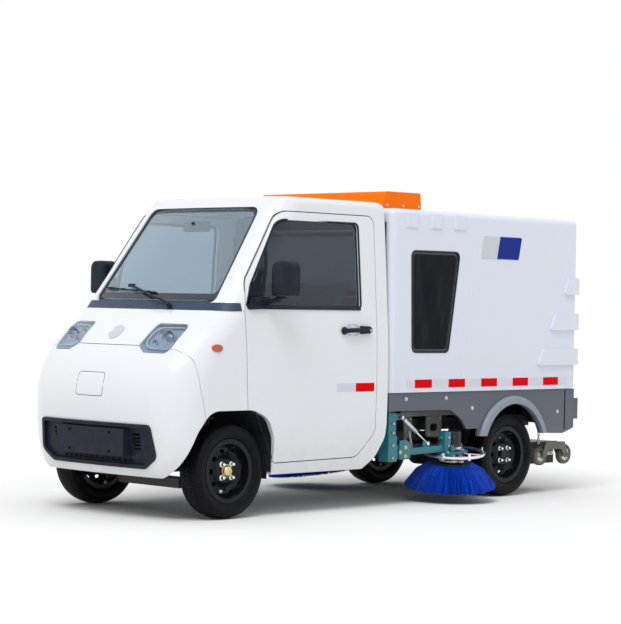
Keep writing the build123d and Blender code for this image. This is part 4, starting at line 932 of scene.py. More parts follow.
# ------------------------------------------------------------------ shapes
class Shape:
    """A mesh under construction, made with bmesh operators in truck coordinates."""

    def __init__(self) -> None:
        """Starts empty."""
        self.bm = bmesh.new()

    def add(self, part: "Shape", *places: Matrix) -> "Shape":
        """Adds copies of another shape.

        Args:
            part: The shape to copy.
            places: One matrix for each copy, or none for a copy as it stands.

        Returns:
            This shape.
        """
        for place in places or (Matrix(),):
            holder = bpy.data.meshes.new("holder")
            part.bm.to_mesh(holder)
            holder.transform(place)
            if place.determinant() < 0:
                holder.flip_normals()
            self.bm.from_mesh(holder)
            bpy.data.meshes.remove(holder)
        return self

    def moved(self, place: Matrix) -> "Shape":
        """A copy at another place."""
        return Shape().add(self, place)

    def reflected(self) -> "Shape":
        """A mirrored copy for the other side of the truck."""
        return self.moved(Matrix.Scale(-1, 4, X_AXIS))

    def weld(self, distance: float = 1e-5) -> "Shape":
        """Merges doubled vertices and turns the faces outward.

        Args:
            distance: How close two vertices count as one, in metres.

        Returns:
            This shape.
        """
        bmesh.ops.remove_doubles(self.bm, verts=self.bm.verts, dist=distance)
        bmesh.ops.recalc_face_normals(self.bm, faces=self.bm.faces)
        return self

    def soften(self, width: float, segments: int = 2, angle: float = 30.0) -> "Shape":
        """Bevels every edge that is sharper than an angle.

        Args:
            width: Width of the bevel in metres.
            segments: Rows of faces in the bevel.
            angle: The sharpness in degrees from which an edge is bevelled.

        Returns:
            This shape.
        """
        limit = math.radians(angle)
        return self.bevel([edge for edge in self.bm.edges if edge.is_manifold and edge.calc_face_angle(0) > limit],
                          width, segments)

    def bevel(self, edges: Sequence[bmesh.types.BMEdge], width: float, segments: int) -> "Shape":
        """Bevels some edges.

        Args:
            edges: The edges.
            width: Width of the bevel in metres.
            segments: Rows of faces in the bevel.

        Returns:
            This shape.
        """
        bmesh.ops.bevel(self.bm, geom=edges, offset=width, offset_type="OFFSET", segments=segments, profile=0.5,
                        affect="EDGES", clamp_overlap=True, material=-1)
        return self

    def bolt(self, foot: Point, rise: Vector, radius: float, edge: float = 0.001, steps: int = 6) -> "Shape":
        """Adds a hexagon head, or one with more sides, that rises from its foot."""
        return self.rod(foot, Vector(foot) + rise, radius, None, edge, steps)

    def block(self, low: Point, high: Point, edge: float = 0.0) -> "Shape":
        """Adds a box between two corners, with softened edges.

        Args:
            low: One corner.
            high: The opposite corner.
            edge: Width of the bevel along its edges.

        Returns:
            This shape.
        """
        low, high = Vector(low), Vector(high)
        part = Shape()
        place = Matrix.Translation((low + high) / 2) @ Matrix.Diagonal((*[abs(d) for d in high - low], 1))
        bmesh.ops.create_cube(part.bm, size=1, matrix=place)
        if edge:
            part.soften(edge)
        return self.add(part)

    def rod(self, start: Point, end: Point, radius: float, tip: Optional[float] = None,
            edge: float = 0.0, steps: int = 24) -> "Shape":
        """Adds a round bar between two points.

        Args:
            start: Middle of its first end.
            end: Middle of its other end.
            radius: Radius at the first end.
            tip: Radius at the other end, or None for the same.
            edge: Width of the bevel round its ends.
            steps: Sides round it.

        Returns:
            This shape.
        """
        start, end = Vector(start), Vector(end)
        part = Shape()
        place = placed_at((start + end) / 2, end - start)
        bmesh.ops.create_cone(part.bm, cap_ends=True, segments=steps, radius1=radius,
                              radius2=radius if tip is None else tip, depth=(end - start).length, matrix=place)
        if edge:
            part.soften(edge, 2, 50)
        return self.add(part)

    def ball(self, centre: Point, radius: float, squash: Point = (1, 1, 1),
             steps: int = 20) -> "Shape":
        """Adds a ball, stretched along the axes by the squash factors.

        Args:
            centre: Its centre.
            radius: Its radius.
            squash: A factor for each axis.
            steps: Number of steps round it.

        Returns:
            This shape.
        """
        part = Shape()
        place = Matrix.Translation(Vector(centre)) @ Matrix.Diagonal((*squash, 1))
        bmesh.ops.create_uvsphere(part.bm, u_segments=steps, v_segments=steps // 2, radius=radius, matrix=place)
        return self.add(part)

    def turned(self, profile: Outline, place: Matrix = Matrix(), steps: int = 48, closed: bool = False) -> "Shape":
        """Adds a profile spun round a local Z axis.

        Args:
            profile: (radius, height) points in order.
            place: The place of the axis.
            steps: Steps round the circle.
            closed: Whether the last point joins the first.

        Returns:
            This shape.
        """
        part = Shape()
        verts = [part.bm.verts.new((radius, 0, height)) for radius, height in profile]
        pairs = list(zip(verts, verts[1:])) + ([(verts[-1], verts[0])] if closed else [])
        edges = [part.bm.edges.new(pair) for pair in pairs]
        bmesh.ops.spin(part.bm, geom=verts + edges, cent=(0, 0, 0), axis=(0, 0, 1), angle=2 * math.pi,
                       steps=steps, use_merge=True)
        part.weld()
        return self.add(part, place)

    def plate(self, outline: Outline, place: Matrix, thickness: float, edge: float = 0.0,
              hole: Optional[Outline] = None) -> "Shape":
        """Adds a flat plate that rises from an outline.

        Args:
            outline: Its corners in the place's own x and y.
            place: The place of the drawing, whose Z is the way the plate rises.
            thickness: How far it rises.
            edge: Width of the bevel along its sharp edges.
            hole: Outline of an opening, with as many points as the outer one.

        Returns:
            This shape.
        """
        part = Shape()
        rims = []
        for ring in (outline, hole) if hole else (outline,):
            verts = [part.bm.verts.new((x, y, 0)) for x, y in ring]
            rims.append([part.bm.edges.new(pair) for pair in zip(verts, verts[1:] + verts[:1])])
        if hole:
            faces = bmesh.ops.bridge_loops(part.bm, edges=rims[0] + rims[1])["faces"]
        else:
            faces = [bmesh.ops.contextual_create(part.bm, geom=rims[0])["faces"][0]]
        if thickness:
            made = bmesh.ops.extrude_face_region(part.bm, geom=faces, use_keep_orig=True)["geom"]
            top = [item for item in made if isinstance(item, bmesh.types.BMVert)]
            bmesh.ops.translate(part.bm, verts=top, vec=(0, 0, thickness))
        bmesh.ops.recalc_face_normals(part.bm, faces=part.bm.faces)
        if not thickness and part.bm.faces[:][0].normal.z < 0:
            bmesh.ops.reverse_faces(part.bm, faces=part.bm.faces)
        if edge:
            part.soften(edge)
        return self.add(part, place)

    def sheet(self, outline: Outline, place: Matrix, cell: float, hole: Optional[Outline] = None) -> "Shape":
        """Adds a flat sheet of small cells, cut to a convex outline.

        Args:
            outline: Its convex outline in the place's own x and y.
            place: The place of the drawing.
            cell: Size of the cells.
            hole: Convex outline of an opening.

        Returns:
            This shape.
        """
        part = Shape()
        lows = [min(point[axis] for point in outline) - cell * 0.37 for axis in (0, 1)]
        highs = [max(point[axis] for point in outline) + cell * 0.41 for axis in (0, 1)]
        counts = [max(2, round((high - low) / cell)) for low, high in zip(lows, highs)]
        size = Matrix.Diagonal(((highs[0] - lows[0]) / 2, (highs[1] - lows[1]) / 2, 1, 1))
        centre = Matrix.Translation(((lows[0] + highs[0]) / 2, (lows[1] + highs[1]) / 2, 0))
        bmesh.ops.create_grid(part.bm, x_segments=counts[0], y_segments=counts[1], size=1, matrix=centre @ size)
        for index, ring in enumerate((outline, hole) if hole else (outline,)):
            area = sum(a[0] * b[1] - b[0] * a[1] for a, b in zip(ring, list(ring[1:]) + [ring[0]]))
            sign = 1 if area > 0 else -1
            for a, b in zip(ring, list(ring[1:]) + [ring[0]]):
                normal = Vector((b[1] - a[1], a[0] - b[0], 0)) * sign
                if normal.length < 1e-7:
                    continue
                everything = part.bm.verts[:] + part.bm.edges[:] + part.bm.faces[:]
                bmesh.ops.bisect_plane(part.bm, geom=everything, dist=1e-6, plane_co=(*a, 0), plane_no=normal,
                                       clear_outer=index == 0)
            if index:
                inside = [face for face in part.bm.faces if within(face.calc_center_median(), ring)]
                bmesh.ops.delete(part.bm, geom=inside, context="FACES")
        return self.add(part, place)

    def raised(self, offset: Vector | Callable[[Vector], Vector], bottom: bool = True) -> "Shape":
        """Thickens an open sheet.

        Args:
            offset: How the raised side moves, one vector for all or one for each place.
            bottom: Whether the lower side stays.

        Returns:
            This shape.
        """
        sheet = self.bm.faces[:]
        made = bmesh.ops.extrude_face_region(self.bm, geom=sheet, use_keep_orig=bottom)["geom"]
        for vert in (item for item in made if isinstance(item, bmesh.types.BMVert)):
            vert.co += offset(vert.co) if callable(offset) else offset
        bmesh.ops.recalc_face_normals(self.bm, faces=self.bm.faces)
        return self

    def beam(self, start: Point, end: Point, width: float, height: float,
             across: Point = (1, 0, 0), edge: float = 0.0) -> "Shape":
        """Adds a rectangular bar between two points.

        Args:
            start: Middle of its first end.
            end: Middle of its other end.
            width: Size along the across direction.
            height: Size square to both.
            across: Direction of the width.
            edge: Width of the bevel.

        Returns:
            This shape.
        """
        start, end = Vector(start), Vector(end)
        half = (end - start).length / 2
        part = Shape().block((-width / 2, -height / 2, -half), (width / 2, height / 2, half), edge)
        return self.add(part, placed_at((start + end) / 2, end - start, across))

    def tube(self, points: Sequence[Point], radius: float, closed: bool = False,
             smooth: bool = True) -> "Shape":
        """Adds a round bar that follows points.

        Args:
            points: Where it runs.
            radius: Its radius.
            closed: Whether it joins into a ring.
            smooth: Whether it curves between the points.

        Returns:
            This shape.
        """
        curve = bpy.data.curves.new("path", "CURVE")
        curve.dimensions = "3D"
        curve.bevel_depth = radius
        curve.bevel_resolution = 2
        curve.use_fill_caps = True
        curve.resolution_u = 6
        spline = curve.splines.new("NURBS" if smooth else "POLY")
        spline.points.add(len(points) - 1)
        for point, place in zip(spline.points, points):
            point.co = (*place, 1)
        spline.use_cyclic_u = closed
        if smooth:
            spline.order_u = 3
            spline.use_endpoint_u = not closed
        holder = bpy.data.objects.new("path", curve)
        mesh = bpy.data.meshes.new_from_object(holder)
        part = Shape()
        part.bm.from_mesh(mesh)
        bpy.data.objects.remove(holder)
        bpy.data.curves.remove(curve)
        bpy.data.meshes.remove(mesh)
        return self.add(part.weld(1e-6))

    def show(self, name: str, finish: Finish, body: str = "vehicle", replaces: Sequence[str] = (),
             crisp: float = 35.0) -> Thing:
        """Turns the shape into a finished object.

        Args:
            name: The object's name.
            finish: Its finish.
            body: The record's body it rides on.
            replaces: CAD nodes that it stands for.
            crisp: Angle in degrees from which edges stay sharp.

        Returns:
            The new object.
        """
        mesh = bpy.data.meshes.new(name)
        self.bm.to_mesh(mesh)
        self.bm.free()
        mesh.materials.append(finish.material())
        mesh.shade_smooth()
        mesh.set_sharp_from_angle(angle=math.radians(crisp))
        thing = bpy.data.objects.new(name, mesh)
        bpy.context.scene.collection.objects.link(thing)
        finished(thing, body, replaces)
        return thing

    def show_pair(self, name: str, finish: Finish, body: str = "vehicle", replaces: Sequence[str] = (),
                  crisp: float = 35.0) -> None:
        """Shows the shape on the left and its mirror image on the right.

        Args:
            name: The objects' name, to which _left and _right are added.
            finish: Their finish.
            body: The body they ride on, with * for the side.
            replaces: CAD nodes they stand for, with * likewise.
            crisp: Angle in degrees from which edges stay sharp.
        """
        right = self.reflected()
        for side, shape in (("left", self), ("right", right)):
            nodes = [node.replace("*", side) for node in replaces]
            shape.show(f"{name}_{side}", finish, body.replace("*", side), nodes, crisp)


def finished(thing: Thing, body: str, replaces: Sequence[str] = ()) -> None:
    """Fixes an object to its body and hides the CAD nodes it stands for.

    Args:
        thing: The object.
        body: The record body it moves with.
        replaces: CAD nodes that it stands for.
    """
    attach(thing, body)
    if replaces:
        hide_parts(*replaces)


class Skin:
    """The outer surface of CAD nodes, for laying trim on."""

    def __init__(self, *nodes: str, reach: float = 0.6) -> None:
        """Gathers the meshes of some nodes.

        Args:
            nodes: Names of the CAD nodes.
            reach: Depth below the nearest hit from which a hit is a miss.
        """
        self.reach = reach
        shape = Shape()
        for node in nodes:
            thing = bpy.data.objects[node]
            part = Shape()
            part.bm.from_mesh(thing.data)
            shape.add(part, thing.matrix_world)
        self.tree = BVHTree.FromBMesh(shape.bm)

    def drop(self, start: Vector, way: Vector) -> Optional[Vector]:
        """The first point that a ray meets."""
        return self.tree.ray_cast(start, way.normalized())[0]

    def left(self, distance: float, z: float) -> Optional[Vector]:
        """The first point that a level ray from outside the left side meets."""
        return self.drop(spot(OUTSIDE, distance, z), -X_AXIS)

    def strip(self, outline: Outline, cell: float, lift: float, thickness: float = 0.0,
              hole: Optional[Outline] = None, view: View = View.LEFT) -> Shape:
        """Lays a thin strip on the surface.

        Args:
            outline: Its outline as the view sees it, (y, z), (x, z) or (-x, z).
            cell: Size of its cells.
            lift: How far its top stands off the surface.
            thickness: How thick it is.
            hole: Outline of an opening.
            view: Where it is laid from.

        Returns:
            The strip.
        """
        plane, way = {View.LEFT: (facing_side(OUTSIDE), -X_AXIS), View.FRONT: (facing_front(behind(AHEAD)), Y_AXIS),
                      View.REAR: (facing_rear(behind(BEYOND)), -Y_AXIS)}[view]
        sheet = self.lay(Shape().sheet(outline, plane, cell, hole), way, lift)
        return sheet.raised(way * thickness) if thickness else sheet

    def ahead(self, x: float, z: float) -> Optional[Vector]:
        """The first point that a level ray from ahead of the truck meets."""
        return self.drop(spot(x, AHEAD, z), Y_AXIS)

    def bead(self, outline: Outline, grow: float, radius: float, even: bool = True) -> Shape:
        """Runs a round bead along an outline on the left side.

        Args:
            outline: The (y, z) outline.
            grow: How far outside it the bead runs.
            radius: The bead's radius.
            even: Whether places that stand off their neighbours are levelled.

        Returns:
            The bead.
        """
        hits = [self.drop(Vector((OUTSIDE, *place)), -X_AXIS) for place in grown(outline, grow)]
        loop = [place for place in hits if place]
        for index, place in enumerate(loop if even else ()):
            near = sorted(loop[(index + step) % len(loop)].x for step in (-2, -1, 0, 1, 2))
            if abs(place.x - near[2]) > 0.003:
                place.x = near[2]
        return Shape().tube([place - X_AXIS * 0.0006 for place in loop], radius, closed=True)

    def lay(self, shape: Shape, way: Vector, lift: float) -> Shape:
        """Drops every vertex of a shape on the surface.

        Args:
            shape: The shape, which stands off the surface.
            way: The direction it drops in.
            lift: How far it stays above the surface, against that direction.

        Returns:
            The same shape.
        """
        way = way.normalized()
        landed, missed = [], []
        hits = [(vert, self.drop(vert.co, way)) for vert in shape.bm.verts]
        nearest = min(((hit - vert.co).dot(way) for vert, hit in hits if hit), default=0.0)
        for vert, hit in hits:
            if hit is None or (hit - vert.co).dot(way) > nearest + self.reach:
                missed.append(vert)
                continue
            landed.append((vert.co.copy(), (hit - vert.co).dot(way)))
            vert.co = hit - way * lift
        for vert in missed:
            depth = min(landed, key=lambda entry: (entry[0] - vert.co).length)[1]
            vert.co += way * (depth - lift)
        return shape


# ------------------------------------------------------------------ wheels
@dataclass(frozen=True)
class Wheel:
    """Tyre with tread, wheel nuts, hub cap, valve and balance weight for one wheel."""

    track: float = 0.510
    columns: int = 72
    shear: float = 0.38
    groove: float = 0.006
    nut_circle: float = 0.050
    nut_radius: float = 0.0110

    def build(self, end: str) -> None:
        """Makes the left and the right wheel of one axle.

        Args:
            end: front or rear.
        """
        axle, weight_turn = (FRONT_AXLE, 200) if end == "front" else (REAR_AXLE, 118)
        place = placed_at((self.track, axle.y, FRONT_AXLE.z), X_AXIS, Y_AXIS)
        body = f"wheel_{end}_*"
        self.tyre(place).show_pair(f"tyre_tread_{end}", TYRE_BLACK, body, [f"tyre_{end}_*"], 28)
        self.nuts(place).show_pair(f"wheel_nuts_{end}", CHROME, body)
        weight = Shape().block((-0.019, -0.0035, 0), (0.019, 0.0035, 0.006), 0.002)
        turn = place @ spun(math.radians(weight_turn)) @ Matrix.Translation((0, 0.1475, 0.0475))
        weight.moved(turn).show_pair(f"balance_weight_{end}", STEEL, body)
        valve = Shape().rod((0.118, 0, 0.02), (0.126, 0, 0.054), 0.0042, 0.0036, 0.0008, 16)
        valve.rod((0.126, 0, 0.054), (0.1285, 0, 0.064), 0.0048, 0.0044, 0.001, 16)
        valve.moved(place @ spun(math.radians(76))).show_pair(f"tyre_valve_{end}", RUBBER, body)
        if end == "front":
            cap = Shape().turned(((0.0, 0.066), (0.012, 0.0652), (0.021, 0.0615), (0.0275, 0.055), (0.0305, 0.048),
                                  (0.032, 0.0405), (0.0345, 0.0395), (0.0345, 0.0365), (0.0, 0.0365)), place, 48)
            cap.add(Shape().rod((0, 0, 0.064), (0, 0, 0.071), 0.0065, 0.006, 0.001, 6), place)
            cap.show_pair("hub_cap_front", BRASS, body)
        else:
            hub = Shape().turned(((0.012, 0.020), (0.026, 0.020), (0.027, 0.0475), (0.0295, 0.0492), (0.0325, 0.0475),
                                  (0.034, 0.0365), (0.012, 0.0365)), place, 48, True)
            hub.show_pair("hub_ring_rear", RUBBER, body)

    def nuts(self, place: Matrix) -> Shape:
        """Four acorn nuts with their cone seats.

        Args:
            place: The wheel's place, with Z along its axle.

        Returns:
            The nuts' shape.
        """
        nut = Shape().turned(((0.0148, 0.036), (0.0148, 0.0385), (0.0125, 0.0405), (0.0, 0.0405)), steps=24)
        nut.bolt((0, 0, 0.0395), Z_AXIS * 0.0150, self.nut_radius, 0.0008)
        nut.turned(((0.0098, 0.0540), (0.0094, 0.0575), (0.0077, 0.0610), (0.0045, 0.0635), (0.0, 0.0642)), steps=24)
        out = Matrix.Translation((self.nut_circle, 0, 0))
        return Shape().add(nut, *[place @ spun(math.pi / 4 + index * math.pi / 2) @ out for index in range(4)])

    def tyre(self, place: Matrix) -> Shape:
        """A tyre whose tread blocks and shoulder lugs stand off zigzag grooves.

        Args:
            place: The wheel's place, with Z along its axle.

        Returns:
            The tyre's shape.
        """
        outer = ((0.050, 0.156), (0.0535, 0.164), (0.0545, 0.1725), (0.060, 0.1765), (0.069, 0.187),
                 (0.0737, 0.197), (0.0748, 0.2055), (0.0741, 0.214), (0.0747, 0.216), (0.0733, 0.220),
                 (0.070, 0.230), (0.0655, 0.2378), (0.0585, 0.2436), (0.0385, 0.2502), (0.0145, 0.2535))
        inner = ((0.047, 0.158), (0.060, 0.200), (0.048, 0.234), (0.0, 0.240))
        half = [(radius, height) for height, radius in outer]
        back = [(radius, -height) for height, radius in reversed(outer)]
        liner = [(radius, -height) for height, radius in inner] + [(radius, h) for h, radius in reversed(inner[:-1])]
        shape = Shape().turned(half + back + liner, Matrix(), self.columns, True)
        sector = math.tau / self.columns
        for vert in shape.bm.verts:
            height = vert.co.z
            if math.hypot(vert.co.x, vert.co.y) > 0.2430:
                middle_row = 0.02 <= abs(height) < 0.05
                turn = (self.shear if middle_row else -self.shear) * (1 if height > 0 else -1) * sector * 0.5
                vert.co = Matrix.Rotation(turn, 3, "Z") @ vert.co
        tread, shoulder = [], []
        for face in shape.bm.faces:
            centre = face.calc_center_median()
            radius = math.hypot(centre.x, centre.y)
            if radius > 0.2455 and face.normal.xy.length > 0.3 and abs(centre.z) < 0.055:
                tread.append(face)
            elif 0.2385 < radius <= 0.2455 and abs(centre.z) > 0.055 and face.normal.dot(centre) > 0:
                shoulder.append(face)
        bmesh.ops.inset_individual(shape.bm, faces=tread, thickness=0.0017, depth=0)
        bmesh.ops.inset_individual(shape.bm, faces=shoulder, thickness=0.0014, depth=0.0016)
        groove_between(tread, self.groove)
        return shape.moved(place)


def groove_between(blocks: Sequence[bmesh.types.BMFace], depth: float) -> None:
    """Sinks the strips between inset blocks toward the axle, the local Z axis.

    Args:
        blocks: The inset faces.
        depth: How deep the strips sink.
    """
    tops = {vert for face in blocks for vert in face.verts}
    rims = {vert for top in tops for edge in top.link_edges for vert in edge.verts} - tops
    for vert in rims:
        radius = math.hypot(vert.co.x, vert.co.y)
        if abs(vert.co.z) < 0.052 and radius > 0.245:
            vert.co.xy *= (radius - depth) / radius


# ------------------------------------------------------------------ cab outside
@dataclass(frozen=True)
class CabFront:
    """Windscreen border, wiper, headlamps, emblem and small parts of the cab's front."""

    screen: tuple = ((-0.486, 1.143), (0.486, 1.143), (0.434, 1.668), (-0.434, 1.668))
    screen_radii: tuple = (0.030, 0.030, 0.055, 0.055)
    border: float = 0.024
    foot_band: float = 0.022
    lamp: tuple = ((0.252, 1.028), (0.466, 1.027), (0.462, 0.872), (0.300, 0.874), (0.240, 0.908))
    lamp_radii: tuple = (0.024, 0.034, 0.034, 0.030, 0.026)
    lamp_depth: float = 0.030
    emblem_z: float = 0.975
    arch: tuple = ((-0.385, 0.180), (-0.361, 0.263), (-0.275, 0.470), (-0.190, 0.577), (0.120, 0.577),
                   (0.235, 0.530), (0.284, 0.420), (0.284, 0.180))
    arch_radii: tuple = (0.001, 0.090, 0.190, 0.130, 0.150, 0.120, 0.130, 0.001)
    emblem_radius: float = 0.050
    screen_foot: tuple = ((-0.490, 1.112), (0.490, 1.112), (0.480, 1.150), (-0.480, 1.150))
    blade: tuple = ((-0.455, 1.216), (0.030, 1.192))
    lamp_guide: tuple = ((0.440, 1.004), (0.300, 1.006), (0.272, 0.992), (0.264, 0.960), (0.264, 0.925), (0.300, 0.898),
                         (0.360, 0.893), (0.440, 0.893))

    def build(self) -> None:
        """Makes all pieces of the cab's front."""
        self.screen_border()
        self.rear_pane_seal()
        self.wiper()
        self.headlamp_shell()
        self.headlamp_inside()
        self.emblem()
        self.charge_flap()
        self.plate_holder()
        self.grille_bars()
        self.arch_lip()

    def arch_lip(self) -> None:
        """Painted lips that round the corners of the front arches."""
        corners = seen_from_side(self.arch)
        lip = Skin("cab_shell", "nose_cover", reach=0.16).strip(grown(corners, 0.0025), 0.03, 0.0004, 0.0,
                                                                rounded(corners, self.arch_radii, 8))
        feet = [face for face in lip.bm.faces if face.calc_center_median().z < 0.31]
        bmesh.ops.delete(lip.bm, geom=feet, context="FACES")
        lip.raised(X_AXIS * -0.0040).show_pair("arch_lip", CAB_WHITE)

    def screen_border(self) -> None:
        """The dark printed border of the windscreen, the bead round it and the strip below it."""
        outline = rounded(self.screen, self.screen_radii, 6)
        left, right, top_right, top_left = grown(self.screen, -self.border)
        inner = rounded(((left[0], left[1] + self.foot_band), (right[0], right[1] + self.foot_band),
                         top_right, top_left), (0.030, 0.030, 0.045, 0.045), 7)
        band = Skin("cab_glass").strip(grown(outline, -0.0135), 0.024, 0.0006, 0.0, inner, View.FRONT)
        band.raised(Y_AXIS * -0.0006).show("screen_border", FRIT)
        shell = Skin("cab_glass", "cab_shell", "nose_cover")
        foot = Skin("cab_glass", "cab_shell", "nose_cover").strip(self.screen_foot, 0.03, 0.0012, 0.0, None, View.FRONT)
        foot.raised(Y_AXIS * -0.0016).show("screen_foot", COWL_BLACK)
        hits = [shell.ahead(*place) for place in grown(outline, -0.009)]
        bead = Shape().tube([hit + Y_AXIS * 0.001 for hit in hits if hit], 0.0062, closed=True)
        bead.show("screen_bead", RUBBER)

    def rear_pane_seal(self) -> None:
        """The flat seal round the pane behind the seats."""
        pane = [(-x, z) for x, z in rectangle(*REAR_PANE)]
        seal = Shape().sheet(grown(pane, 0.006), facing_rear(behind(1.9)), 0.05, grown(pane, -0.022))
        Skin("cab_glass", "cab_shell").lay(seal, -Y_AXIS, 0.001)
        seal.raised(Y_AXIS * 0.002).show("rear_pane_seal", RUBBER)

    def wiper(self) -> None:
        """One arm and blade that rest on the windscreen."""
        skin = Skin("cab_glass")

        def on_glass(x: float, z: float, lift: float) -> Vector:
            """A place above the glass at (x, z)."""
            return (skin.ahead(x, z) or spot(x, -0.09, z)) - Y_AXIS * lift

        (x, z), (end_x, end_z) = self.blade
        steps = [(x + (end_x - x) * share / 10, z + (end_z - z) * share / 10) for share in range(11)]
        blade = Shape().tube([on_glass(*step, 0.0125) for step in steps], 0.0042)
        blade.tube([on_glass(*step, 0.0070) for step in steps], 0.0026)
        for share in (0.14, 0.38, 0.62, 0.86):
            place = on_glass(x + (end_x - x) * share, z + (end_z - z) * share, 0.0125)
            blade.block(place - Vector((0.014, 0.006, 0.006)), place + Vector((0.014, 0.006, 0.006)), 0.002)
        blade.show("wiper_blade", RUBBER)
        pivot = spot(0.199, -0.107, 1.114)
        knee, meet = on_glass(-0.017, 1.187, 0.030), on_glass(-0.205, 1.2285, 0.020)
        arm = Shape().tube([pivot + Vector((0, -0.012, 0.012)), spot(0.155, -0.102, 1.146),
                            (pivot + knee) / 2 + Vector((-0.03, -0.030, 0.022)), knee, (knee + meet) / 2, meet], 0.0062)
        arm.rod(pivot + Vector((0, 0.02, -0.02)), pivot + Vector((0, -0.022, 0.022)), 0.017, 0.012, 0.003)
        arm.block(meet - Vector((0.022, 0.006, 0.009)), meet + Vector((0.022, 0.012, 0.009)), 0.003)
        arm.show("wiper_arm", BLACK)

    def headlamp_shell(self) -> None:
        """A clear lens over a bowl with a rim."""
        outline = rounded(self.lamp, self.lamp_radii, 6)
        skin = Skin("headlamps")
        lens = skin.strip(grown(outline, -0.0015), 0.014, 0.0, 0.0030, None, View.FRONT)
        lens.show_pair("headlamp_lens", LAMP_LENS, replaces=["headlamps"], crisp=30)
        bowl = skin.strip(grown(outline, -0.006), 0.016, 0.0, 0.004, None, View.FRONT)
        rim = skin.strip(grown(outline, -0.0015), 0.012, 0.0, 0.0, grown(outline, -0.0075), View.FRONT)
        for shape, depth in ((bowl, self.lamp_depth), (rim, 0.0032)):
            bmesh.ops.translate(shape.bm, verts=shape.bm.verts, vec=(0, depth, 0))
        bowl.show_pair("headlamp_bowl", LAMP_BOWL, crisp=30)
        rim.raised(Y_AXIS * (self.lamp_depth + 0.002)).show_pair("headlamp_rim", LAMP_BOWL, crisp=30)

    def headlamp_inside(self) -> None:
        """A light guide, a reflector with its projector and two small cups."""
        skin = Skin("headlamps")

        def inside(x: float, z: float, depth: float) -> Vector:
            """A place inside the lamp at (x, z)."""
            return (skin.ahead(x, z) or spot(x, -0.35, z)) + Y_AXIS * depth

        Shape().tube([inside(x, z, 0.014) for x, z in self.lamp_guide], 0.0052).show_pair("headlamp_guide", LAMP_GUIDE)
        centre = inside(0.388, 0.948, 0.020)
        eye = Shape().turned(((0.050, 0.0), (0.052, 0.004), (0.047, 0.006), (0.034, -0.004), (0.030, -0.008),
                              (0.0, -0.008)), placed_at(centre, -Y_AXIS, X_AXIS), 40)
        eye.show_pair("headlamp_reflector", LAMP_CORE)
        bulb = Shape().ball(centre + Y_AXIS * 0.004, 0.029, (1, 0.45, 1), 28)
        bulb.show_pair("headlamp_projector", LAMP_CORE)
        cups = Shape()
        for z in (0.974, 0.926):
            cups.turned(((0.017, 0.0), (0.018, 0.003), (0.015, 0.004), (0.006, -0.003), (0.0, -0.003)),
                        placed_at(inside(0.318, z, 0.022), -Y_AXIS, X_AXIS), 24)
        cups.show_pair("headlamp_cups", LAMP_CORE)

    def emblem(self) -> None:
        """A plain silver disc above the charge flap."""
        skin = Skin("cab_shell", "nose_cover")
        point, above, below = (skin.ahead(0, self.emblem_z + step) for step in (0, 0.03, -0.03))
        normal = (above - below).cross(X_AXIS).normalized()
        radius = self.emblem_radius
        disc = Shape().turned(((radius, -0.002), (radius, 0.0022), (radius - 0.0015, 0.0042), (radius - 0.007, 0.0048),
                               (radius - 0.009, 0.0032), (0.020, 0.0042), (0.0, 0.0046)),
                              placed_at(point, -normal if normal.y > 0 else normal, X_AXIS), 64)
        disc.show("front_emblem", EMBLEM)

    def charge_flap(self) -> None:
        """The seam and the face of the flap in the nose."""
        skin = Skin("nose_cover", "cab_shell")
        outline = rectangle((-0.108, 0.638), (0.108, 0.765), 0.020)
        seam = skin.strip(outline, 0.03, 0.0003, 0.0, grown(outline, -0.0028), View.FRONT)
        seam.show("charge_flap_seam", LINER_BLACK)
        flap = skin.strip(grown(outline, -0.0040), 0.018, 0.0012, 0.0014, None, View.FRONT)
        flap.soften(0.0006, 1, 50).show("charge_flap", CAB_WHITE)

    def plate_holder(self) -> None:
        """Dark sheets laid on the grille as painted shade for the slots of the plate holder, the louvres beside it and
        the openings below.
        """
        skin = Skin("front_grille")
        # The sheets are painted shade where the grille has slots and openings.
        shade_sheets = Shape()
        slots = [(x, z, 0.011, 0.0065) for x in (-0.160, 0.160) for z in (0.452, 0.352)]
        slots += [(side.value * 0.322, 0.372 + step * 0.019, 0.026, 0.0052) for side in Side for step in range(5)]
        slots += [(-0.264 + step * 0.044, 0.3085, 0.016, 0.011) for step in range(13)]
        for x, z, half_width, half_height in slots:
            if skin.ahead(x, z):
                line = rectangle((x - half_width, z - half_height), (x + half_width, z + half_height),
                                 min(half_width, half_height) * 0.4)
                shade_sheets.add(skin.strip(line, 0.01, 0.0005, 0.0, None, View.FRONT))
        shade_sheets.show("grille_opening_shade", HOLE_SHADE_BLACK)

    def grille_bars(self) -> None:
        """Fine ribs in the lower grille's openings."""
        skin = Skin("front_grille")
        ribs = Shape()
        for z in (0.2882, 0.3010, 0.3138):
            row = [skin.ahead(x, z) for x in (-0.34, -0.17, 0.0, 0.17, 0.34)]
            if all(row):
                ribs.tube([hit - Y_AXIS * 0.0008 for hit in row], 0.0026)
        ribs.show("grille_ribs", BLACK)


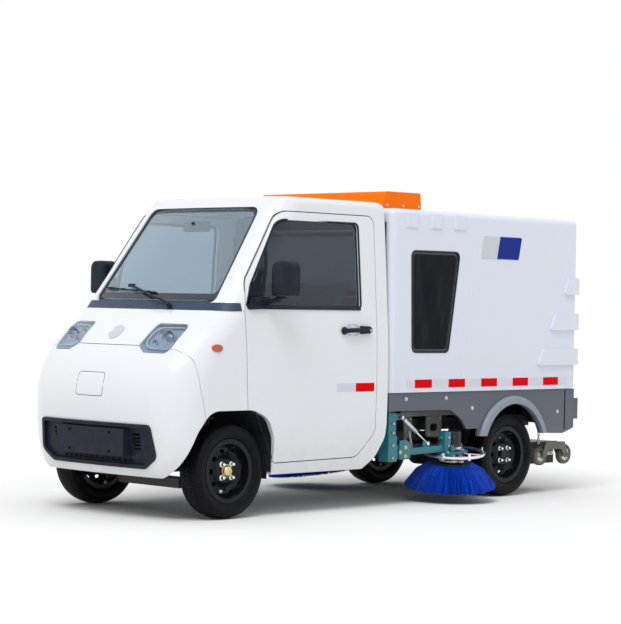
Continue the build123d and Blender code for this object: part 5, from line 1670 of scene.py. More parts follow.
@dataclass(frozen=True)
class DoorTrim:
    """Window band, mirror, handle and tapes of one door and its mirror image."""

    edge: tuple = ((0.050, 1.100), (0.066, 0.700), (0.076, 0.560), (0.160, 0.380), (0.298, 0.285), (0.940, 0.292),
                   (1.089, 0.430), (1.090, 1.648), (0.350, 1.648), (0.080, 1.262))
    edge_radii: tuple = (0.060, 0.060, 0.030, 0.020, 0.012, 0.090, 0.090, 0.055, 0.110, 0.150)
    pane: tuple = ((0.066, 1.124), (0.112, 1.240), (0.342, 1.597), (0.952, 1.597), (0.958, 1.130))
    pane_radii: tuple = (0.010, 0.060, 0.090, 0.025, 0.020)
    mirror_face: tuple = ((0.675, 1.182), (0.805, 1.182), (0.805, 1.371), (0.675, 1.371))
    mirror_radii: tuple = (0.020, 0.020, 0.042, 0.042)
    body: str = "door_*"

    def build(self) -> None:
        """Makes the trim of both doors."""
        self.seam()
        self.window()
        self.mirror()
        self.handle()
        self.tapes()
        self.inside()

    def seam(self) -> None:
        """A dark seal deep in the gap round the door."""
        skin = Skin("door_left", "door_glass_left")
        outline = side_line(self.edge, self.edge_radii, 7)
        places = []
        for near, gap in zip(grown(outline, -0.0140), grown(outline, -0.0015)):
            hit = skin.drop(Vector((OUTSIDE, *near)), -X_AXIS)
            if hit and hit.x > 0.40:
                places.append(Vector((hit.x - 0.0065, *gap)))
        Shape().tube(places, 0.0024, closed=True, smooth=False).show_pair("door_seam", RUBBER)

    def window(self) -> None:
        """The bead and the dark band round the pane, the belt strip and the quarter bar."""
        skin, glass = Skin("door_left", "door_glass_left"), Skin("door_glass_left")
        corners = seen_from_side(self.pane)
        outline = rounded(corners, self.pane_radii, 7)
        skin.bead(outline, 0.0030, 0.0052).show_pair("window_seal", RUBBER, self.body)
        inner = rounded(grown(corners, -0.016), (0.012, 0.050, 0.075, 0.018, 0.014), 7)
        band = glass.strip(grown(outline, -0.0005), 0.05, 0.0006, 0.0004, inner)
        band.show_pair("window_band", FRIT, self.body)
        sail = glass.strip(side_line(((0.074, 1.128), (0.116, 1.238), (0.190, 1.352), (0.178, 1.130))), 0.04,
                           0.0016, 0.0012)
        sail.show_pair("mirror_sail", BLACK, self.body)
        low, high = self.pane[0], self.pane[4]
        line = side_line(((low[0] + 0.004, low[1] - 0.012), (high[0] - 0.004, high[1] - 0.016),
                          (high[0] - 0.004, high[1] + 0.008), (low[0] + 0.012, low[1] + 0.012)))
        belt = skin.strip(line, 0.05, 0.0062, 0.0075).soften(0.0015, 1, 50)
        belt.show_pair("belt_strip", RUBBER, self.body)
        bar = skin.strip(side_line(((0.176, 1.128), (0.200, 1.128), (0.262, 1.470), (0.240, 1.442))), 0.04,
                         0.0030, 0.0045)
        bar.show_pair("quarter_bar", RUBBER, self.body)

    def mirror(self) -> None:
        """A rounded mirror on a bent arm from a foot on the door."""
        skin = Skin("door_left", "door_glass_left")
        front = rounded(self.mirror_face, self.mirror_radii, 6)
        case = Shape().plate(front, facing_front(behind(0.250)), 0.078)
        case.bevel([edge for edge in case.bm.edges if all(vert.co.y < behind(0.173) for vert in edge.verts)], 0.020, 5)
        case.plate(front, facing_front(behind(0.266)), 0.016, 0.0, grown(front, -0.007))
        case.show_pair("mirror_case", BLACK, self.body, ["door_fittings_*"], 32)
        glass = Shape().plate(grown(front, -0.0085), facing_front(behind(0.2575)), 0.005, 0.001)
        glass.show_pair("mirror_glass", MIRROR, self.body)
        foot_line = side_line(((0.070, 1.108), (0.262, 1.116), (0.258, 1.180), (0.098, 1.176)),
                              (0.012, 0.018, 0.020, 0.020), 4)
        foot = skin.strip(foot_line, 0.03, 0.012, 0.014).soften(0.003, 2, 50)
        foot.show_pair("mirror_foot", BLACK, self.body)
        arm = Shape().tube([spot(*place) for place in (
            (0.600, 0.212, 1.146), (0.650, 0.214, 1.152), (0.700, 0.216, 1.166), (0.724, 0.219, 1.186),
            (0.726, 0.220, 1.215))], 0.0155)
        arm.rod(spot(0.724, 0.219, 1.168), spot(0.724, 0.219, 1.188), 0.021, 0.019, 0.003)
        arm.show_pair("mirror_arm", BLACK, self.body)

    def handle(self) -> None:
        """A pull bar over a recess, with a lock at its rear end."""
        skin = Skin("door_left")

        def at(distance: float, z: float, lift: float) -> Vector:
            """A place off the door's skin."""
            return (skin.left(distance, z) or spot(0.62, distance, z)) + X_AXIS * lift

        grip = Shape().tube([at(*place) for place in ((0.812, 1.000, 0.010), (0.826, 1.001, 0.019),
                                                      (0.868, 1.003, 0.024), (0.915, 1.004, 0.024),
                                                      (0.950, 1.005, 0.022))], 0.0128)
        grip.add(Shape().ball(at(0.813, 1.000, 0.008), 0.021, (0.75, 1, 1.05), 28))
        tail = side_line(((0.944, 0.982), (1.010, 0.985), (1.036, 1.004), (1.012, 1.026), (0.944, 1.028)),
                         (0.006, 0.016, 0.010, 0.018, 0.006), 4)
        grip.add(Shape().plate(tail, facing_side(at(0.98, 1.004, -0.004).x), 0.028).soften(0.006, 3, 50))
        grip.show_pair("door_handle", BLACK, self.body)
        key = at(1.012, 1.004, 0.0235)
        Shape().rod(key, key + X_AXIS * 0.0015, 0.0075, 0.0068, 0.0004).show_pair("door_lock", STEEL, self.body)
        # The recess is grey as painted shade on the door's white paint.
        cup_line = side_line(((0.838, 0.974), (0.938, 0.974), (0.930, 1.036), (0.846, 1.036)),
                             (0.022, 0.022, 0.028, 0.028))
        cup = skin.lay(Shape().sheet(cup_line, facing_side(OUTSIDE), 0.008), -X_AXIS, 0.0012)
        for vert in cup.bm.verts:
            off = math.hypot((vert.co.y - behind(0.888)) / 0.052, (vert.co.z - 1.005) / 0.033)
            vert.co.x -= 0.0045 * max(0.0, 1 - off * off)
        cup.show_pair("handle_cup", CUP_SHADE_GREY, self.body)

    def tapes(self) -> None:
        """The white and red reflective strip low on the door."""
        skin = Skin("door_left")
        for name, finish, start, end in (("white", WHITE_TAPE, 0.758, 0.912), ("red", RED_TAPE, 0.913, 1.066)):
            strip = skin.strip(side_box(start, end, 0.661, 0.709), 0.04, 0.0007, 0.0008)
            strip.show_pair(f"door_tape_{name}", finish, self.body)

    def inside(self) -> None:
        """The inner card with its arm rest, pull and pocket."""
        skin = Skin("door_left")
        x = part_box("door_left")[0].x
        line = side_line(((0.395, 0.330), (0.900, 0.336), (1.000, 0.470), (1.000, 1.085), (0.190, 1.070),
                          (0.120, 0.900)), (0.06, 0.06, 0.06, 0.03, 0.04, 0.06), 4)
        card = skin.lay(Shape().sheet(line, facing_side(0.30), 0.06), X_AXIS, 0.0020)
        card.raised(Vector((-0.006, 0, 0))).show_pair("door_card", DASH, self.body)
        rest = Shape()
        for low, high, edge in (((-0.024, 0.42, 0.868), (0.010, 0.86, 0.915), 0.010),
                                ((-0.026, 0.48, 0.915), (-0.006, 0.62, 0.930), 0.006),
                                ((-0.022, 0.46, 0.440), (0.004, 0.84, 0.560), 0.008)):
            rest.block(spot(*low) + X_AXIS * x, spot(*high) + X_AXIS * x, edge)
        rest.show_pair("door_rest", BLACK, self.body)


# ------------------------------------------------------------------ box outside
@dataclass(frozen=True)
class BoxTrim:
    """Window gaskets, badge, tapes and rear fittings of the box body."""

    window: tuple = ((1.386, 0.883), (1.698, 0.882), (1.789, 1.459), (1.368, 1.457))
    radius: float = 0.028
    red_first: float = 1.487
    red_pitch: float = 0.300
    red_half: float = 0.075
    rear_face: float = 2.948

    def build(self) -> None:
        """Makes all trim of the box."""
        self.glazing()
        self.badge()
        self.tapes()
        self.lower_bolts()
        self.rear_door()
        self.rear_lamps()
        self.roof_fairing()

    def glazing(self) -> None:
        """The gasket and dark band of the side window, and the crease behind it."""
        wall = Skin("box_body")
        corners = seen_from_side(self.window)
        outline = rounded(corners, [self.radius] * 4, 6)
        wall.bead(outline, 0.0035, 0.0055, False).show_pair("box_gasket", RUBBER)
        inner = rounded(grown(corners, -0.014), [0.022] * 4, 5)
        band = Skin("box_windows").strip(grown(outline, -0.0005), 0.06, 0.0006, 0.0004, inner)
        band.show_pair("box_window_band", FRIT)
        line = side_line(((1.8205, 0.740), (1.8275, 0.740), (1.9685, 1.565), (1.9615, 1.565)))
        wall.strip(line, 0.05, 0.0016, 0.0022).soften(0.0012, 2, 40).show_pair("box_crease", BOX_WHITE)

    def badge(self) -> None:
        """A blank two-tone plate, high on the box."""
        line = side_line(((1.985, 1.435), (2.345, 1.435), (2.375, 1.569), (2.015, 1.569)), [0.010] * 4, 4)
        Skin("box_body").strip(line, 0.03, 0.0030, 0.0035).soften(0.0008, 1, 50).show_pair("box_badge", BADGE)

    def tapes(self) -> None:
        """Red blocks on a white strip along the box."""
        wall = Skin("box_body")
        wall.strip(side_box(1.340, 2.860, 0.673, 0.721), 0.05, 0.0008, 0.0010).show_pair("box_tape_white", WHITE_TAPE)
        blocks = Shape()
        for index in range(5):
            centre = self.red_first + index * self.red_pitch
            line = side_box(centre - self.red_half, centre + self.red_half, 0.6726, 0.7214)
            blocks.add(wall.strip(line, 0.05, 0.0014, 0.0006))
        blocks.show_pair("box_tape_red", RED_TAPE)

    def lower_bolts(self) -> None:
        """Bolts and the seam strip of the skirt."""
        skin = Skin("box_skirts")
        bolt = Shape().turned(((0.0125, 0.0), (0.0125, 0.0018), (0.0095, 0.0022), (0.0092, 0.0058), (0.0075, 0.0072),
                               (0.0, 0.0076)), steps=24)
        hits = [skin.left(*place) for place in ((1.349, 0.611), (1.703, 0.610), (1.943, 0.546), (2.773, 0.506))]
        bolts = Shape().add(bolt, *[placed_at(hit, X_AXIS, Y_AXIS) for hit in hits if hit])
        bolts.show_pair("skirt_bolts", STEEL)
        skin.strip(side_box(2.844, 2.855, 0.395, 0.640), 0.02, 0.0007, 0.0010).show_pair("skirt_seam", LINER_BLACK)

    def rear_door(self) -> None:
        """Seal, pressed panels, latch, rivets and blank plate of the rear door."""
        skin = Skin("rear_door")
        line = rectangle((-0.589, 0.684), (0.589, 1.664), 0.02)
        seal = Shape().plate(grown(line, 0.0045), facing_rear(behind(self.rear_face) - 0.012), 0.010, 0.0015,
                             grown(line, 0.0012))
        seal.show("rear_door_seal", RUBBER)

        def at(x: float, z: float) -> Vector:
            """A place on the rear door's outer face."""
            return skin.drop(spot(x, BEYOND, z), -Y_AXIS) or spot(x, self.rear_face, z)

        pads = Shape()
        for low, high in ((1.02, 1.56), (0.83, 0.98)):
            pad = skin.strip(rectangle((-0.50, low), (0.50, high), 0.03), 0.08, 0.0045, 0.0055, None, View.REAR)
            pads.add(pad.soften(0.0018, 2, 50))
        pads.show("rear_door_panels", BOX_WHITE, "rear_door")
        lever = at(0, 0.808)
        grip = Shape().block(lever + Vector((-0.055, 0.0, -0.006)), lever + Vector((0.055, 0.008, 0.006)), 0.002)
        grip.tube([lever + Vector((x, y, 0)) for x, y in ((-0.045, 0.002), (-0.045, 0.012), (0.045, 0.012),
                                                          (0.045, 0.002))], 0.004, smooth=False)
        grip.show("rear_door_grip", STEEL, "rear_door")
        rivet = Shape().turned(((0.0062, 0.0), (0.0056, 0.0018), (0.0030, 0.0028), (0.0, 0.0030)), steps=14)
        rivets = Shape().add(rivet, *[placed_at(at(x, 0.74 + step * 0.175), Y_AXIS, X_AXIS)
                                      for x in (-0.565, 0.565) for step in range(6)])
        rivets.show("rear_door_rivets", STEEL, "rear_door")
        blank = Shape().plate(rectangle((-0.24, 0.855), (0.24, 0.955), 0.008),
                              facing_rear(at(0.0, 0.905).y - 0.001), 0.004, 0.001)
        blank.show("blank_plate", WHITE_PLATE, "rear_door")

    def rear_lamps(self) -> None:
        """Bezel, amber and clear windows of the tail lamps."""
        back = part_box("tail_lamps")[1].y
        outline = rectangle((-0.5895, 0.5885), (-0.4305, 0.6395), 0.004)
        bezel = Shape().plate(outline, facing_rear(back - 0.004), 0.0055, 0.001, grown(outline, -0.005))
        bezel.show_pair("tail_lamp_bezel", BLACK)
        for name, start, end, finish in (("amber", -0.480, -0.437, AMBER), ("clear", -0.583, -0.552, CLEAR_LENS)):
            lens = Shape().plate(rectangle((start, 0.594), (end, 0.634), 0.003), facing_rear(back - 0.001), 0.002,
                                 0.0006)
            lens.show_pair(f"tail_lamp_{name}", finish)

    def roof_fairing(self) -> None:
        """Foot gasket and screws of the orange fairing."""
        skin = Skin("roof_fairing")
        low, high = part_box("roof_fairing")
        line = rectangle((low.x + 0.002, low.y + 0.004), (high.x - 0.002, high.y - 0.004), 0.012)
        gasket = Shape().plate(line, Matrix.Translation((0, 0, low.z - 0.0005)), 0.004, 0.001, grown(line, -0.02))
        gasket.show("fairing_gasket", RUBBER)
        screw = Shape().turned(((0.0075, 0.0), (0.0068, 0.0020), (0.0035, 0.0032), (0.0, 0.0034)), steps=18)
        screws = Shape()
        for side in Side:
            out = X_AXIS * side.value
            hits = [skin.drop(spot(side.value * 0.9, distance, 1.722), -out) for distance in (1.285, 1.425, 1.560)]
            screws.add(screw, *[placed_at(hit, out, Y_AXIS) for hit in hits if hit])
        screws.show("fairing_screws", STEEL)


# ------------------------------------------------------------------ brushes
@dataclass(frozen=True)
class BrushGear:
    """One side brush: hinge, arm, gearbox, motor, guard ring and bristles."""

    head: tuple = (0.580, 1.800, 0.226)
    lean_angle: float = 7.0
    hinge: tuple = (0.550, 1.372, 0.300)
    tufts: int = 60
    strands: int = 62
    ring_radius: float = 0.176
    ring_wire: float = 0.0096
    seed: int = 20

    def __post_init__(self) -> None:
        """Finds the place of the brush head, with Z along its canted axis."""
        tilt = math.radians(self.lean_angle)
        lean = Vector((math.sin(tilt) * 0.69, -math.sin(tilt) * 0.72, math.cos(tilt)))
        object.__setattr__(self, "place", placed_at(spot(*self.head), lean, X_AXIS))

    def build(self) -> None:
        """Makes the pieces of both sides."""
        self.bristles()
        self.disc()
        self.gearbox()
        self.motor_cable()
        self.arm()
        self.arm_bolts()
        self.guard()
        self.post()
        self.gas_spring()

    def on_head(self, shape: Shape, name: str, finish: Finish, replaces: Sequence[str] = ()) -> None:
        """Shows a shape drawn round the head's own axis."""
        shape.moved(self.place).show_pair(name, finish, "brush_arm_*", replaces)

    def tuft(self, dice: random.Random) -> Shape:
        """One clump of bent strands at the local X axis.

        Args:
            dice: Source of the random draws.

        Returns:
            The clump.
        """
        tuft = Shape()
        for _ in range(self.strands):
            across = dice.gauss(0, 0.0052)
            root = Vector((0.112 + dice.random() * 0.022, across * 0.8, -0.003))
            spread = dice.gauss(0, 0.010)
            reach = 0.250 + dice.random() * 0.019
            tip = Vector((reach, spread, -0.140 + dice.random() * 0.014))
            knee = root.lerp(tip, 0.45) + Vector((0.010, 0, 0.016))
            radius = 0.0017 + dice.random() * 0.0006
            for start, end, thin in ((root, knee, radius), (knee, tip, radius * 0.7)):
                bmesh.ops.create_cone(tuft.bm, cap_ends=end is tip, segments=3, radius1=radius, radius2=thin,
                                      depth=(end - start).length,
                                      matrix=placed_at((start + end) / 2, end - start, Y_AXIS))
        return tuft

    def bristles(self) -> None:
        """Clumps of strands that flare from the disc, round a dark cone that is painted shade for the strands deep
        inside.
        """
        dice = random.Random(self.seed)
        kinds = [self.tuft(dice) for _ in range(5)]
        shape = Shape()
        for index in range(self.tufts):
            angle = (index + dice.uniform(-0.14, 0.14)) * math.tau / self.tufts
            shape.add(kinds[index % 5], self.place @ spun(angle))
        shape.show_pair("bristles", BRISTLES, "brush_rotor_*", ["brush_rotor_*"], 60)
        # The dark cone is painted shade for the shaded strands deep inside the brush.
        core = Shape().turned(((0.0, -0.010), (0.108, -0.010), (0.140, -0.026), (0.182, -0.062), (0.224, -0.112),
                               (0.214, -0.116), (0.160, -0.080), (0.110, -0.036), (0.0, -0.030)), self.place)
        core.show_pair("bristle_core", BRISTLE_CORE_SHADE, "brush_rotor_*")

    def disc(self) -> None:
        """The disc that holds the clumps, with its bolts and boss."""
        disc = Shape().turned(((0.0, 0.0), (0.108, 0.0), (0.118, -0.0006), (0.123, -0.003), (0.124, -0.006),
                               (0.121, -0.0095), (0.0, -0.0095)), self.place, 64)
        disc.add(Shape().bolt((0.092, 0, -0.001), Z_AXIS * 0.006, 0.008),
                 *[self.place @ spun(index * math.pi / 3) for index in range(6)])
        disc.turned(((0.0, 0.008), (0.022, 0.008), (0.024, 0.006), (0.024, -0.001)), self.place, 32)
        disc.show_pair("brush_disc", BLACK, "brush_rotor_*")

    def gearbox(self) -> None:
        """Ribbed gearbox and motor on top of the disc."""
        box = Shape().block((-0.044, -0.032, 0.016), (0.046, 0.056, 0.066), 0.006)
        box.block((-0.036, -0.026, 0.066), (0.040, 0.052, 0.098), 0.008)
        for x, y in ((-0.036, -0.024), (0.038, -0.024), (-0.036, 0.048), (0.038, 0.048)):
            box.bolt((x, y, 0.060), Z_AXIS * 0.011, 0.0065)
        for level in range(4):
            z = 0.024 + level * 0.010
            box.block((-0.0455, -0.020, z), (0.0475, 0.044, z + 0.004), 0.001)
        self.on_head(box, "brush_gearbox", CAST_SILVER)
        motor = Shape().turned(((0.030, 0.0), (0.030, 0.006), (0.026, 0.008), (0.018, 0.0085), (0.010, 0.007),
                                (0.0, 0.007)), placed_at((0.0465, 0.013, 0.052), X_AXIS, Y_AXIS), 32)
        motor.turned(((0.0, 0.099), (0.045, 0.099), (0.046, 0.104), (0.044, 0.109), (0.0415, 0.112),
                      (0.0415, 0.150), (0.0430, 0.152), (0.0430, 0.158), (0.0415, 0.160), (0.0415, 0.180),
                      (0.038, 0.187), (0.028, 0.190), (0.0, 0.190)), Matrix.Translation((0.002, 0.020, 0)))
        motor.block((-0.020, -0.034, 0.128), (0.016, -0.018, 0.160), 0.004)
        self.on_head(motor, "brush_motor", MOTOR_DARK, ["brush_arm_*"])
        bolts = Shape()
        for index in range(4):
            angle = math.pi / 4 + index * math.pi / 2
            foot = Vector((0.053, 0.013 + math.cos(angle) * 0.0235, 0.052 + math.sin(angle) * 0.0235))
            bolts.bolt(foot, X_AXIS * 0.0055, 0.0048, 0.0008)
        self.on_head(bolts, "gearbox_bolts", BRASS)

    def motor_cable(self) -> None:
        """The cable from the motor along the arm to the hinge."""
        cable = Shape().tube([self.place @ Vector(point) for point in (
            (-0.002, -0.034, 0.144), (-0.002, -0.060, 0.158), (-0.012, -0.084, 0.150), (-0.022, -0.110, 0.116))], 0.006)
        end = spot(self.hinge[0], self.hinge[1] + 0.03, self.hinge[2] + 0.034)
        start = self.place @ Vector((-0.022, -0.110, 0.116))
        cable.tube((start, start.lerp(end, 0.3) + Z_AXIS * 0.012, start.lerp(end, 0.7) - Z_AXIS * 0.002, end), 0.006)
        cable.show_pair("motor_cable", RUBBER, "brush_arm_*")

    def arm(self) -> None:
        """The teal arm from the hinge to the head, with its upright bracket."""
        start = spot(*self.hinge)
        end = self.place @ Vector((0, -0.060, 0.096))
        joint = start.lerp(end, 0.20)
        arm = Shape().beam(start, joint, 0.026, 0.040, edge=0.003)
        arm.beam(joint - (joint - start) * 0.1, end, 0.040, 0.040, edge=0.004)
        arm.rod(start - X_AXIS * 0.0175, start + X_AXIS * 0.0175, 0.026, None, 0.002, 28)
        bracket = Shape().block((-0.028, -0.088, 0.036), (0.028, -0.034, 0.194), 0.004)
        bracket.plate(rounded(((-0.060, -0.080), (0.060, -0.080), (0.060, 0.090), (-0.060, 0.090)), [0.014] * 4, 4),
                      Matrix.Translation((0, 0, 0.060)), 0.012, 0.0015)
        bracket.plate(rounded(((-0.078, 0.034), (-0.042, 0.034), (-0.042, 0.110), (-0.060, 0.160), (-0.078, 0.160)),
                              [0.004] * 5, 2), facing_side(-0.030), 0.004)
        for x in (-0.040, 0.034):
            bracket.plate(((-0.046, 0.072), (0.030, 0.072), (-0.046, 0.118)), facing_side(x), 0.006, 0.001)
        arm.add(bracket, self.place)
        rib = start.lerp(end, 0.58)
        arm.beam(rib, rib + Vector((0, 0.004, 0.052)), 0.008, 0.060, edge=0.002)
        arm.show_pair("brush_arm_frame", TEAL, "brush_arm_*")

    def arm_bolts(self) -> None:
        """Bolts and washers of the arm's bracket."""
        bolts = Shape()
        for x in (-0.030, 0.030):
            for y in (-0.064, 0.070):
                bolts.bolt((x, y, 0.070), Z_AXIS * 0.009, 0.0085)
                bolts.bolt((x, y, 0.071), Z_AXIS * 0.0025, 0.0115, 0.0004, 20)
        for z in (0.062, 0.112, 0.162):
            bolts.bolt((0.0275, -0.060, z), X_AXIS * 0.0075, 0.0078)
            bolts.bolt((0, -0.0875, z), Y_AXIS * -0.0075, 0.0078)
        self.on_head(bolts, "arm_bolts", STEEL)

    def guard(self) -> None:
        """The chrome ring round the head, with its bars, tabs and clamp."""
        centre = Vector((0, 0.030, 0.056))

        def ray(angle: float) -> Vector:
            """A level direction from the ring's middle."""
            return Vector((math.cos(angle), math.sin(angle), 0))

        ring = Shape().tube([centre + ray(math.tau * step / 40) * self.ring_radius for step in range(40)],
                            self.ring_wire, closed=True)
        for angle in (25, 155, 205, 335):
            way = ray(math.radians(angle))
            outer = centre + way * (self.ring_radius - 0.004)
            inner = centre + Vector((math.copysign(0.052, way.x), way.y * 0.060, 0))
            ring.beam(inner, outer, 0.018, 0.008, Z_AXIS.cross(outer - inner), 0.0015)
        for angle in (-72, -20, 62, 118, 196):
            way = ray(math.radians(angle))
            foot = centre + way * self.ring_radius
            ring.beam(foot - Z_AXIS * 0.016, foot + Z_AXIS * 0.026, 0.018, 0.005, Z_AXIS.cross(way), 0.001)
        self.on_head(ring, "guard_ring", CHROME)
        clamp = Shape().turned(((0.052, 0.018), (0.071, 0.018), (0.072, 0.022), (0.071, 0.026), (0.052, 0.026)),
                               Matrix.Translation((0, 0.004, -0.006)), 48, True)
        clamp.block((0.064, -0.012, 0.011), (0.088, 0.014, 0.021), 0.002)
        clamp.rod((0.079, -0.020, 0.016), (0.079, 0.022, 0.016), 0.0036, None, 0.0005, 12)
        self.on_head(clamp, "drive_clamp", STEEL)

    def post(self) -> None:
        """Cheek plate and bolts at the hinge."""
        x = self.hinge[0]
        line = side_line(((1.335, 0.262), (1.430, 0.262), (1.430, 0.345), (1.400, 0.372), (1.335, 0.372)),
                         (0.006, 0.012, 0.014, 0.014, 0.006), 3)
        Shape().plate(line, facing_side(x + 0.0295), 0.008, 0.0012).show_pair("hinge_cheek", TEAL, "brush_post_*")
        bolts = Shape()
        for distance, z in ((1.385, 0.330), (1.340, 0.305), (1.385, 0.280)):
            bolts.bolt(spot(x + 0.0375, distance, z), X_AXIS * 0.0015, 0.0115, 0.0003, 20)
            bolts.bolt(spot(x + 0.0390, distance, z), X_AXIS * 0.0070, 0.0082)
        for z in (0.272, 0.345, 0.418, 0.470):
            bolts.bolt(spot(x + 0.0365, 1.275, z), X_AXIS * 0.0060, 0.0075)
        bolts.show_pair("hinge_bolts", BRASS, "brush_post_*")

    def gas_spring(self) -> None:
        """Gas spring, its rod and the lifting chain."""
        x = self.hinge[0]
        top, bottom = spot(x + 0.026, 1.364, 0.502), spot(x + 0.026, 1.592, 0.345)
        neck = top.lerp(bottom, 0.55)
        spring = Shape().rod(top.lerp(bottom, 0.06), neck, 0.0120, None, 0.0015)
        spring.rod(top - X_AXIS * 0.008, top + X_AXIS * 0.008, 0.012, None, 0.001, 20)
        spring.show_pair("gas_spring", CAST_SILVER, "brush_post_*")
        rod = Shape().rod(neck, bottom, 0.005, None, 0.0006, 16)
        rod.rod(bottom - X_AXIS * 0.014, bottom + X_AXIS * 0.008, 0.011, None, 0.001, 20)
        rod.show_pair("gas_spring_rod", CHROME, "brush_arm_*")
        chain = chain_links(spot(x + 0.008, 1.450, 0.418), spot(x + 0.008, 1.474, 0.322), 0.016, 0.0024)
        chain.show_pair("lift_chain", STEEL, "brush_arm_*")


def chain_links(start: Vector, end: Vector, pitch: float, wire: float) -> Shape:
    """A hanging chain of oval links, each turned a quarter from the last.

    Args:
        start: Its top.
        end: Its bottom.
        pitch: Distance from link to link.
        wire: Radius of the wire.

    Returns:
        The chain's shape.
    """
    count = max(2, round((end - start).length / pitch))
    oval = [(math.cos(a) * pitch * 0.38, 0, math.sin(a) * pitch * 0.74) for a in (math.tau * i / 10 for i in range(10))]
    places = [placed_at(start.lerp(end, (index + 0.5) / count), start - end, X_AXIS) @ spun(index % 2 * math.pi / 2)
              for index in range(count)]
    return Shape().add(Shape().tube(oval, wire, closed=True), *places)


# ------------------------------------------------------------------ nozzle and casters
@dataclass(frozen=True)
class NozzleGear:
    """Caster wheels, rubber skirt and chains of the suction nozzle."""

    caster_radius: float = 0.062
    body: str = "suction_nozzle"

    def build(self) -> None:
        """Makes the nozzle's wheels, skirt and chains."""
        for end in ("front", "rear"):
            self.caster(end)
        skirt, strip = Shape(), Shape()
        for side in Side:
            sign = side.value
            skirt.block(spot(sign * 0.452, 2.640, 0.172), spot(sign * 0.459, 2.950, 0.236), 0.001)
            strip.block(spot(sign * 0.459, 2.650, 0.222), spot(sign * 0.463, 2.940, 0.242), 0.001)
            for step in range(5):
                strip.bolt(spot(sign * 0.462, 2.672 + step * 0.062, 0.232), X_AXIS * sign * 0.006, 0.006, 0.0008)
        skirt.block(spot(-0.452, 2.953, 0.172), spot(0.452, 2.960, 0.230), 0.001)
        skirt.show("nozzle_skirt", RUBBER, self.body)
        strip.show("nozzle_skirt_strip", STEEL, self.body)
        for side in Side:
            x = side.value * 0.540
            chain = chain_links(spot(x, 2.690, 0.372), spot(x, 2.690, 0.306), 0.018, 0.0026)
            chain.show(f"nozzle_chain_{side.name.lower()}", STEEL, self.body)

    def caster(self, end: str) -> None:
        """One caster wheel with a zinc hub, for both sides of an end, front or rear.

        Args:
            end: The end, front or rear.
        """
        centre = middle(f"caster_{end}_left")
        place = placed_at(centre, X_AXIS, Y_AXIS)
        radius = self.caster_radius
        body = f"caster_{end}_*"
        tread = Shape().turned(((0.040, -0.016), (0.052, -0.0175), (radius - 0.003, -0.016), (radius, -0.011),
                                (radius, 0.011), (radius - 0.003, 0.016), (0.052, 0.0175), (0.040, 0.016)),
                               place, 48, True)
        tread.show_pair(f"caster_tread_{end}", CASTER_BLACK, body, [body])
        hub = Shape().turned(((0.009, -0.018), (0.014, -0.018), (0.016, -0.010), (0.034, -0.008), (0.041, -0.013),
                              (0.041, 0.013), (0.034, 0.008), (0.016, 0.010), (0.014, 0.018), (0.009, 0.018)),
                             place, 36, True)
        hub.rod(centre - X_AXIS * 0.0180, centre + X_AXIS * 0.0180, 0.009, None, 0.0008, 20)
        hub.show_pair(f"caster_hub_{end}", STEEL, body)


